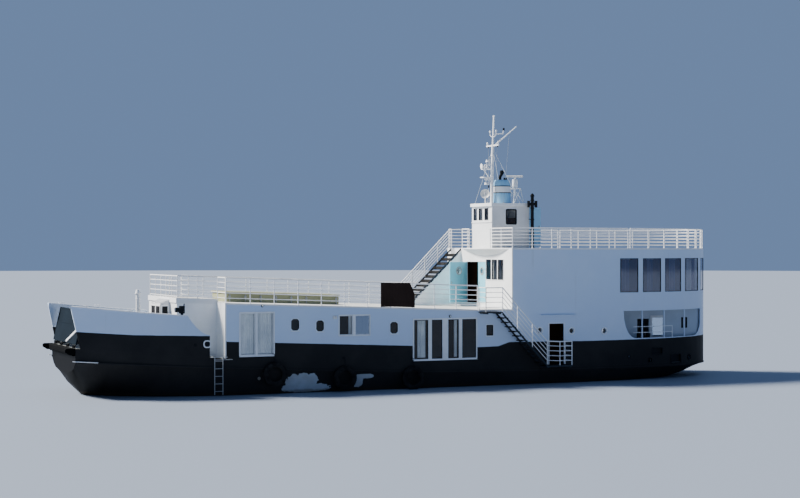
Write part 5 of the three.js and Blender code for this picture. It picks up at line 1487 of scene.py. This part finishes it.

# Mooring fittings on the bulwark: lead with a black plate filling its opening as painted shade, small hawse
# hole, cleats

mooring = {"lead": (11.3, 3.583, 0), "leadAlong": (1, -0.043), "hole": (11.84, 2.33),
           "cleats": (16.49, 14.66)}
leadRing = [rounded(-0.18, 0.18, 2.19, 2.53, 0.13), rounded(-0.13, 0.13, 2.24, 2.48, 0.10)]
holeRing = [(0.06, -0.01), (0.06, 0.012), (0.048, 0.02), (0.036, 0.012), (0.036, -0.01)]
leads, holes = [], []
for side in (-1, 1):
    lead = wallPlate(onWall(mooring["lead"], mooring["leadAlong"]), leadRing, -0.045, 0.02, 0.014)
    lead.matrix_world = Matrix.Scale(side, 4, toPort)
    leads.append(outwards(settle(lead)))
    x, z = mooring["hole"]
    holes.append(turned(holeRing, (x, side * (halfAt(x) - 0.002), z), 28, (0, side, 0), 35, True))
# Black plates in the leads' openings: painted shade
for side in (-1, 1):
    near, far = sorted((side * (halfAt(11.3) + 0.001), side * (halfAt(11.3) + 0.009)))
    holes.append(block((11.18, near, 2.24), (11.42, far, 2.48), 0))
finish(joined("mooring_leads", leads), whiteMaterial)
finish(joined("mooring_lead_backs", holes), blackMaterial)
cleats = []
for x in mooring["cleats"]:
    for side in (-1, 1):
        y, z = side * (halfAt(x) - 0.04), levelAt(wingLine, x)
        cleats.append(block((x - 0.07, y - 0.035, z - 0.01), (x + 0.07, y + 0.035, z + 0.012), 0.004))
        cleats += [turned([(0.020, 0), (0.016, 0.02), (0.016, 0.06)], (x + dx, y, z + 0.01), 14)
                   for dx in (-0.035, 0.035)]
        horns = [(-0.14, 0.082), (-0.08, 0.070), (0.08, 0.070), (0.14, 0.082)]
        cleats.append(bars([[(x + dx, y, z + dz) for dx, dz in horns]], 0.015, 5))
finish(joined("bulwark_cleats", cleats), railMaterial)

# Ladder head: two cross bars clamped to its rails

ladderHead = {"y": 3.822, "bars": [(10.43, 11.22, 1.77), (10.20, 11.05, 1.66)], "rails": (10.64, 11.02)}
y = ladderHead["y"]
heads = [bars([[(x0, y, z), (x1, y, z)] for x0, x1, z in ladderHead["bars"]], 0.014, 4)]
heads += [block((x - 0.024, y - 0.040, z - 0.024), (x + 0.024, y + 0.023, z + 0.024), 0.005)
          for x in ladderHead["rails"] for _, _, z in ladderHead["bars"]]
finish(joined("ladder_head", heads), steelMaterial)

# Recess: glazed panel and inner wall, slots and guard rails

recess = {"floor": 0.86, "roof": 3.56, "panel": (-13.66, -12.77, 0.90, 3.18),
          "pane": (-13.54, -12.89, 2.10, 3.06),
          "field": (-13.50, -12.93, 1.05, 1.95), "wall": (-15.66, -14.60), "joint": (-14.905, -14.875),
          "slots": ((-14.83, -14.71), (-15.08, -14.96)), "slotsHigh": (2.50, 3.06)}
low, high = recess["floor"], recess["roof"]
recessWall = onWall((0, 2.2, 0), (1, 0))
bulkheadWall = onWall((0, 2.26, 0), (1, 0))
paneLine = rounded(*recess["pane"], 0.03)
grip = [(-13.60, 2.288, 1.98), (-13.60, 2.335, 1.98), (-13.49, 2.335, 1.98)]
panel = [wallPlate(bulkheadWall, [rounded(*recess["panel"], 0.02), paneLine], -0.030, 0.0, 0.004),
         wallPlate(bulkheadWall, [rounded(*recess["field"], 0.03)], -0.036, -0.028, 0.003),
         bars([grip], 0.010, 4)]
bothSides("recess_panel", panel, greyAndShadeMaterial)
bothSides("recess_pane", [wallPlate(bulkheadWall, [paneLine], -0.016, 0.0)], recessGlass)
far = Vector(sternPoint(60, 0.09))
way = Vector((-15.60, 2.188)) - far
wall = [wallPlate(recessWall, [rounded(*recess["wall"], low, high)], 0.0, 0.012),
        wallPlate(recessWall, [rounded(*recess["joint"], low, high)], -0.012, 0.0, 0.003),
        wallPlate(onWall((*far, 0), way), [rounded(0, way.length, low, high)], 0.0, 0.012)]
# Slots: black plates on the wall for the dark inside of the openings, as painted shade
slots = [wallPlate(recessWall, [rounded(*ends, *recess["slotsHigh"], 0.03)], -0.008, 0.0)
         for ends in recess["slots"]]
# Inner walls in the recess's painted shade
bothSides("recess_inner_wall", wall, recessShadeMaterial)
bothSides("recess_slots", slots, blackMaterial)
guardRail = {"heights": (2.69, 2.40), "from": 2.6, "to": 26, "inset": 0.03, "studs": (7.3, 20.4)}
inset = guardRail["inset"]
guard = [bars([[(*sternPoint(a, inset), z) for a in evenly(guardRail["from"], guardRail["to"], 8)]], 0.015, 4)
         for z in guardRail["heights"]]
guard.append(bars([[(*sternPoint(guardRail["to"], inset), z) for z in (2.10, 2.70)]], 0.020, 4))
guard += [turned([(0.030, 0), (0.030, 0.04)], (*sternPoint(a, inset), z - 0.02), 16)
          for a in guardRail["studs"] for z in guardRail["heights"]]
bothSides("recess_guard", guard, railMaterial)

# Ports of the mooring deck: rims on the round side, and black boxes behind the two long ones as painted shade
# in their openings

sternPorts = [   # x, z, half length or radius, half height of the long ones
    (-12.43, 1.44, 0.32, 0.15),
    (-13.75, 0.995, 0.35, 0.22),
    (-11.95, 0.99, 0.115, 0),
    (-14.83, 1.02, 0.13, 0),
    (-10.68, 1.20, 0.06, 0),
]
rims, shadeBacks = [], []
for x, z, half, tall in sternPorts:
    a = math.asin(min(1, max(0, (-10.65 - x) / 6.5)))
    y = 3.6 * math.cos(a)
    along = Vector((6.5 * math.cos(a), 3.6 * math.sin(a), 0)).normalized()
    if tall:
        place = onWall((x, y, z), along[:2])
        long = half / along.x
        outlines = [rounded(-long - more, long + more, -tall - more, tall + more, bend)
                    for more, bend in ((0.035, 0.05), (-0.003, 0.03))]
        rims.append(wallPlate(place, outlines, -0.022, 0.03, 0.008))
        shadeBacks.append((place, [rounded(-half - 0.1, half + 0.1, -tall - 0.04, tall + 0.04)]))
    else:
        out = Vector((-along.y, along.x, 0))
        rim = [(half + 0.032, 0), (half + 0.032, 0.014), (half + 0.012, 0.024), (half - 0.004, 0.014),
               (half - 0.004, 0.0)]
        rims.append(turned(rim, Vector((x, y, z)) - out * 0.004, 32, out, 35, True))
bothSides("stern_port_rims", rims, blackMaterial)
# Black boxes seen through the long ports: painted shade
shadeBoxes = [wallPlate(place, outlines, 0.09, 0.10) for place, outlines in shadeBacks]
bothSides("stern_port_boxes", shadeBoxes, blackMaterial)
print("stern fittings made")

# Hood on the foredeck: framed panes and a ribbed lid

hood = {"panes": (3.05, 4.06), "frame": 0.05, "front": 12.80, "lidLow": 4.122, "lidHigh": 4.31,
        "ribs": (-0.28, 1.26)}
hoodSide = onWall((0, 1.28, 0), (1, 0))
hoodFront = onWall((hood["front"], 0, 0), (0, -1))
frames, panes = [], []
for place, a0, a1, count in ((hoodSide, 12.42, 12.78, 1), (hoodFront, -1.26, 0.28, 2)):
    cuts = evenly(a0, a1, count)
    for c0, c1 in zip(cuts, cuts[1:]):
        hole = rounded(c0 + hood["frame"], c1 - hood["frame"], 3.12, 3.99, 0.02)
        frames.append(wallPlate(place, [rounded(c0, c1, *hood["panes"]), hole], -0.022, 0.0, 0.004))
        panes.append(wallPlate(place, [hole], -0.010, 0.0))
frames += [bars([[(12.402, y, hood["lidHigh"]), (hood["front"], y, hood["lidLow"])]], 0.010, 3)
           for y in evenly(*hood["ribs"], 8)]
frames.append(bars([[(hood["front"], y, 4.112) for y in (-0.30, 1.28)]], 0.016, 4))
finish(joined("hood_frames", frames), railMaterial)
# Panes as near-black plates instead of glass: painted shade of the hood's inside
finish(joined("hood_panes", panes), sealMaterial)

# Vent: rings at its foot and hood

vent = {"x": 13.64, "y": 0.5}
ventRings = [   # section, height
    ([(0.145, 0), (0.145, 0.012), (0.102, 0.02), (0.102, 0.0)], levelAt(mainDeck, vent["x"]) + 0.012),
    ([(0.142, 0), (0.142, 0.03), (0.130, 0.035), (0.130, 0)], 4.55),
    ([(0.112, 0), (0.112, 0.02), (0.10, 0.03), (0.10, 0)], 4.30),
]
rings = [turned(ring, (vent["x"], vent["y"], z), 32, (0, 0, 1), 30, True) for ring, z in ventRings]
finish(joined("vent_rings", rings), railMaterial)

# Flood lamp on the bulwark: lens and rim

flood = (12.7302, 3.452, 3.90)
lens = turned([(0.085, 0), (0.085, 0.006), (0.05, 0.016), (0.01, 0.019)], flood, 28, (1, 0, 0))
rim = turned([(0.098, -0.012), (0.098, 0.02), (0.088, 0.02), (0.088, -0.012)], flood, 28, (1, 0, 0), 30, True)
finish(lens, lampGlass).name = "flood_lamp_lens"
finish(rim, blackMaterial).name = "flood_lamp_rim"

# Small fittings of the port side: bulkhead lamps, a pair of tubes and a disc

sideLamps = [(8.71, 3.6, 4.03), (-0.71, 3.6, 3.40)]
sideTubes = {"plate": ((5.08, 3.6, 3.37), (5.30, 3.612, 3.53)), "at": (5.13, 5.25), "y": 3.645, "z": 3.375}
sideDisc = (8.87, 3.599, 0.75)
lamps, glows = [], []
for x, y, z in sideLamps:
    lamps.append(turned([(0.07, 0), (0.07, 0.012), (0.055, 0.025), (0.055, 0.045)], (x, y, z), 24, toPort))
    glows.append(turned([(0.048, 0), (0.046, 0.03), (0.03, 0.05), (0.01, 0.055)],
                        (x, y + 0.045, z), 24, toPort))
    cage = [(-0.05, 0.04), (-0.045, 0.11), (0.045, 0.11), (0.05, 0.04)]
    lamps.append(bars([[(x + dx, y + dy, z) for dx, dy in cage]], 0.005, 3))
finish(joined("side_lamps", lamps), blackMaterial)
tube = [(0.030, 0), (0.038, 0.01), (0.038, 0.13), (0.026, 0.15)]
tubes = [block(*sideTubes["plate"], 0.004)]
tubes += [turned(tube, (x, sideTubes["y"], sideTubes["z"]), 20) for x in sideTubes["at"]]
finish(joined("side_tubes", tubes), plasticMaterial)
finish(joined("side_lamp_glass", glows), lampGlass)
disc = turned([(0.075, 0), (0.075, 0.010), (0.06, 0.016), (0.03, 0.016), (0.026, 0.010)], sideDisc, 28,
              toPort)
finish(disc, dullMaterial).name = "hull_disc"
print("fittings made")

# White pipe on the top edge of the bow strake: partly white paint, partly a painted highlight where the sun
# catches the edge

strake = {"line": [(11.0, 1.33), (17.15, 1.67)], "edge": (16.05, 17.10), "out": 0.108, "radius": 0.018}
strakeEdgesAndHighlights = [bars([[(x, side * (halfAt(x) + strake["out"]), levelAt(strake["line"], x) + 0.006)
                 for x in evenly(*strake["edge"], 8)]], strake["radius"], 4) for side in (-1, 1)]
finish(joined("bow_strake_edge", strakeEdgesAndHighlights), railMaterial)

# Frame round the side doorway, and head and sill of the double doorway, whose hinges stand at its sides

sideDoorway = [rounded(-6.955, -6.05, 0.835, 2.975, 0.03), rounded(-6.92, -6.085, 0.87, 2.94)]
doubleDoorway = {"across": (-0.80, 1.36), "head": (5.958, 5.99), "sill": (3.855, 3.882)}
doorFrames = [wallPlate(portSide, sideDoorway, -0.012, 0.004, 0.003)]
doorFrames += [wallPlate(upperWall, [rounded(*doubleDoorway["across"], *doubleDoorway[part])],
                         -0.014, 0.002, 0.003) for part in ("head", "sill")]
finish(joined("door_frames", doorFrames), railMaterial)
print("edges and frames made")

# Bow gate: grip bars between the ribs of its inner face, and flat bars along its outer edges

gate = {"hinge": (16.9, 0, 2.345), "lean": 12.5, "half": 2.31, "face": 0.03, "top": 1.595,
        "ribs": (-1.5, -0.5, 0.5, 1.5), "grips": (0.20, 1.50), "bar": 0.010, "sunk": 0.002}
half, top, face = gate["half"], gate["top"], gate["face"]
ends = [-half, *[y + out for y in gate["ribs"] for out in (-0.03, 0.03)], half]
grips = [block((-face - gate["bar"], y0 + 0.02, z - 0.012),
               (-face + gate["sunk"], y1 - 0.02, z + 0.012), 0.003)
         for y0, y1 in zip(ends[::2], ends[1::2]) for z in evenly(*gate["grips"], 10)]
flats = [   # heights, ends in y
    ((top - 0.06, top), (-half, half)), ((0.10, 1.53), (-half, -2.25)), ((0.90, 1.53), (2.25, half)),
    ((0.90, 0.96), (-2.24, 2.24))]
grips += [block((face - gate["sunk"], y0, z0), (face + gate["bar"], y1, z1), 0.003)
          for (z0, z1), (y0, y1) in flats]
grips = joined("gate_bars", grips)
grips.matrix_world = moved(*gate["hinge"]) @ rotated(-gate["lean"], "Y")
finish(settle(grips), gateMaterial, "gate")

# Rudder: straps that follow the taper of the blade, and their bolts

rudder = {"straps": (-0.80, -1.31, -1.82), "from": -15.10, "y": 0.0254, "taper": 0.0892, "half": 0.04,
          "bolts": (-15.02, -14.86, -14.70)}
x0, y0, high = rudder["from"], rudder["y"], rudder["half"]
straps = []
for z in rudder["straps"]:
    straps.append(wallPlate(onWall((x0, y0, z), (0.48, 0.0428)), [rounded(0, 0.48, -high, high, 0.012)],
                            -0.010, 0.003, 0.002))
    straps += [turned([(0.014, 0), (0.014, 0.004), (0.008, 0.008)],
                      (x, y0 + (x - x0) * rudder["taper"] + 0.009, z), 8, (-rudder["taper"], 1, 0))
               for x in rudder["bolts"]]
bothSides("rudder_straps", straps, blackMaterial, "rudder_blade")
print("gate and rudder details made")
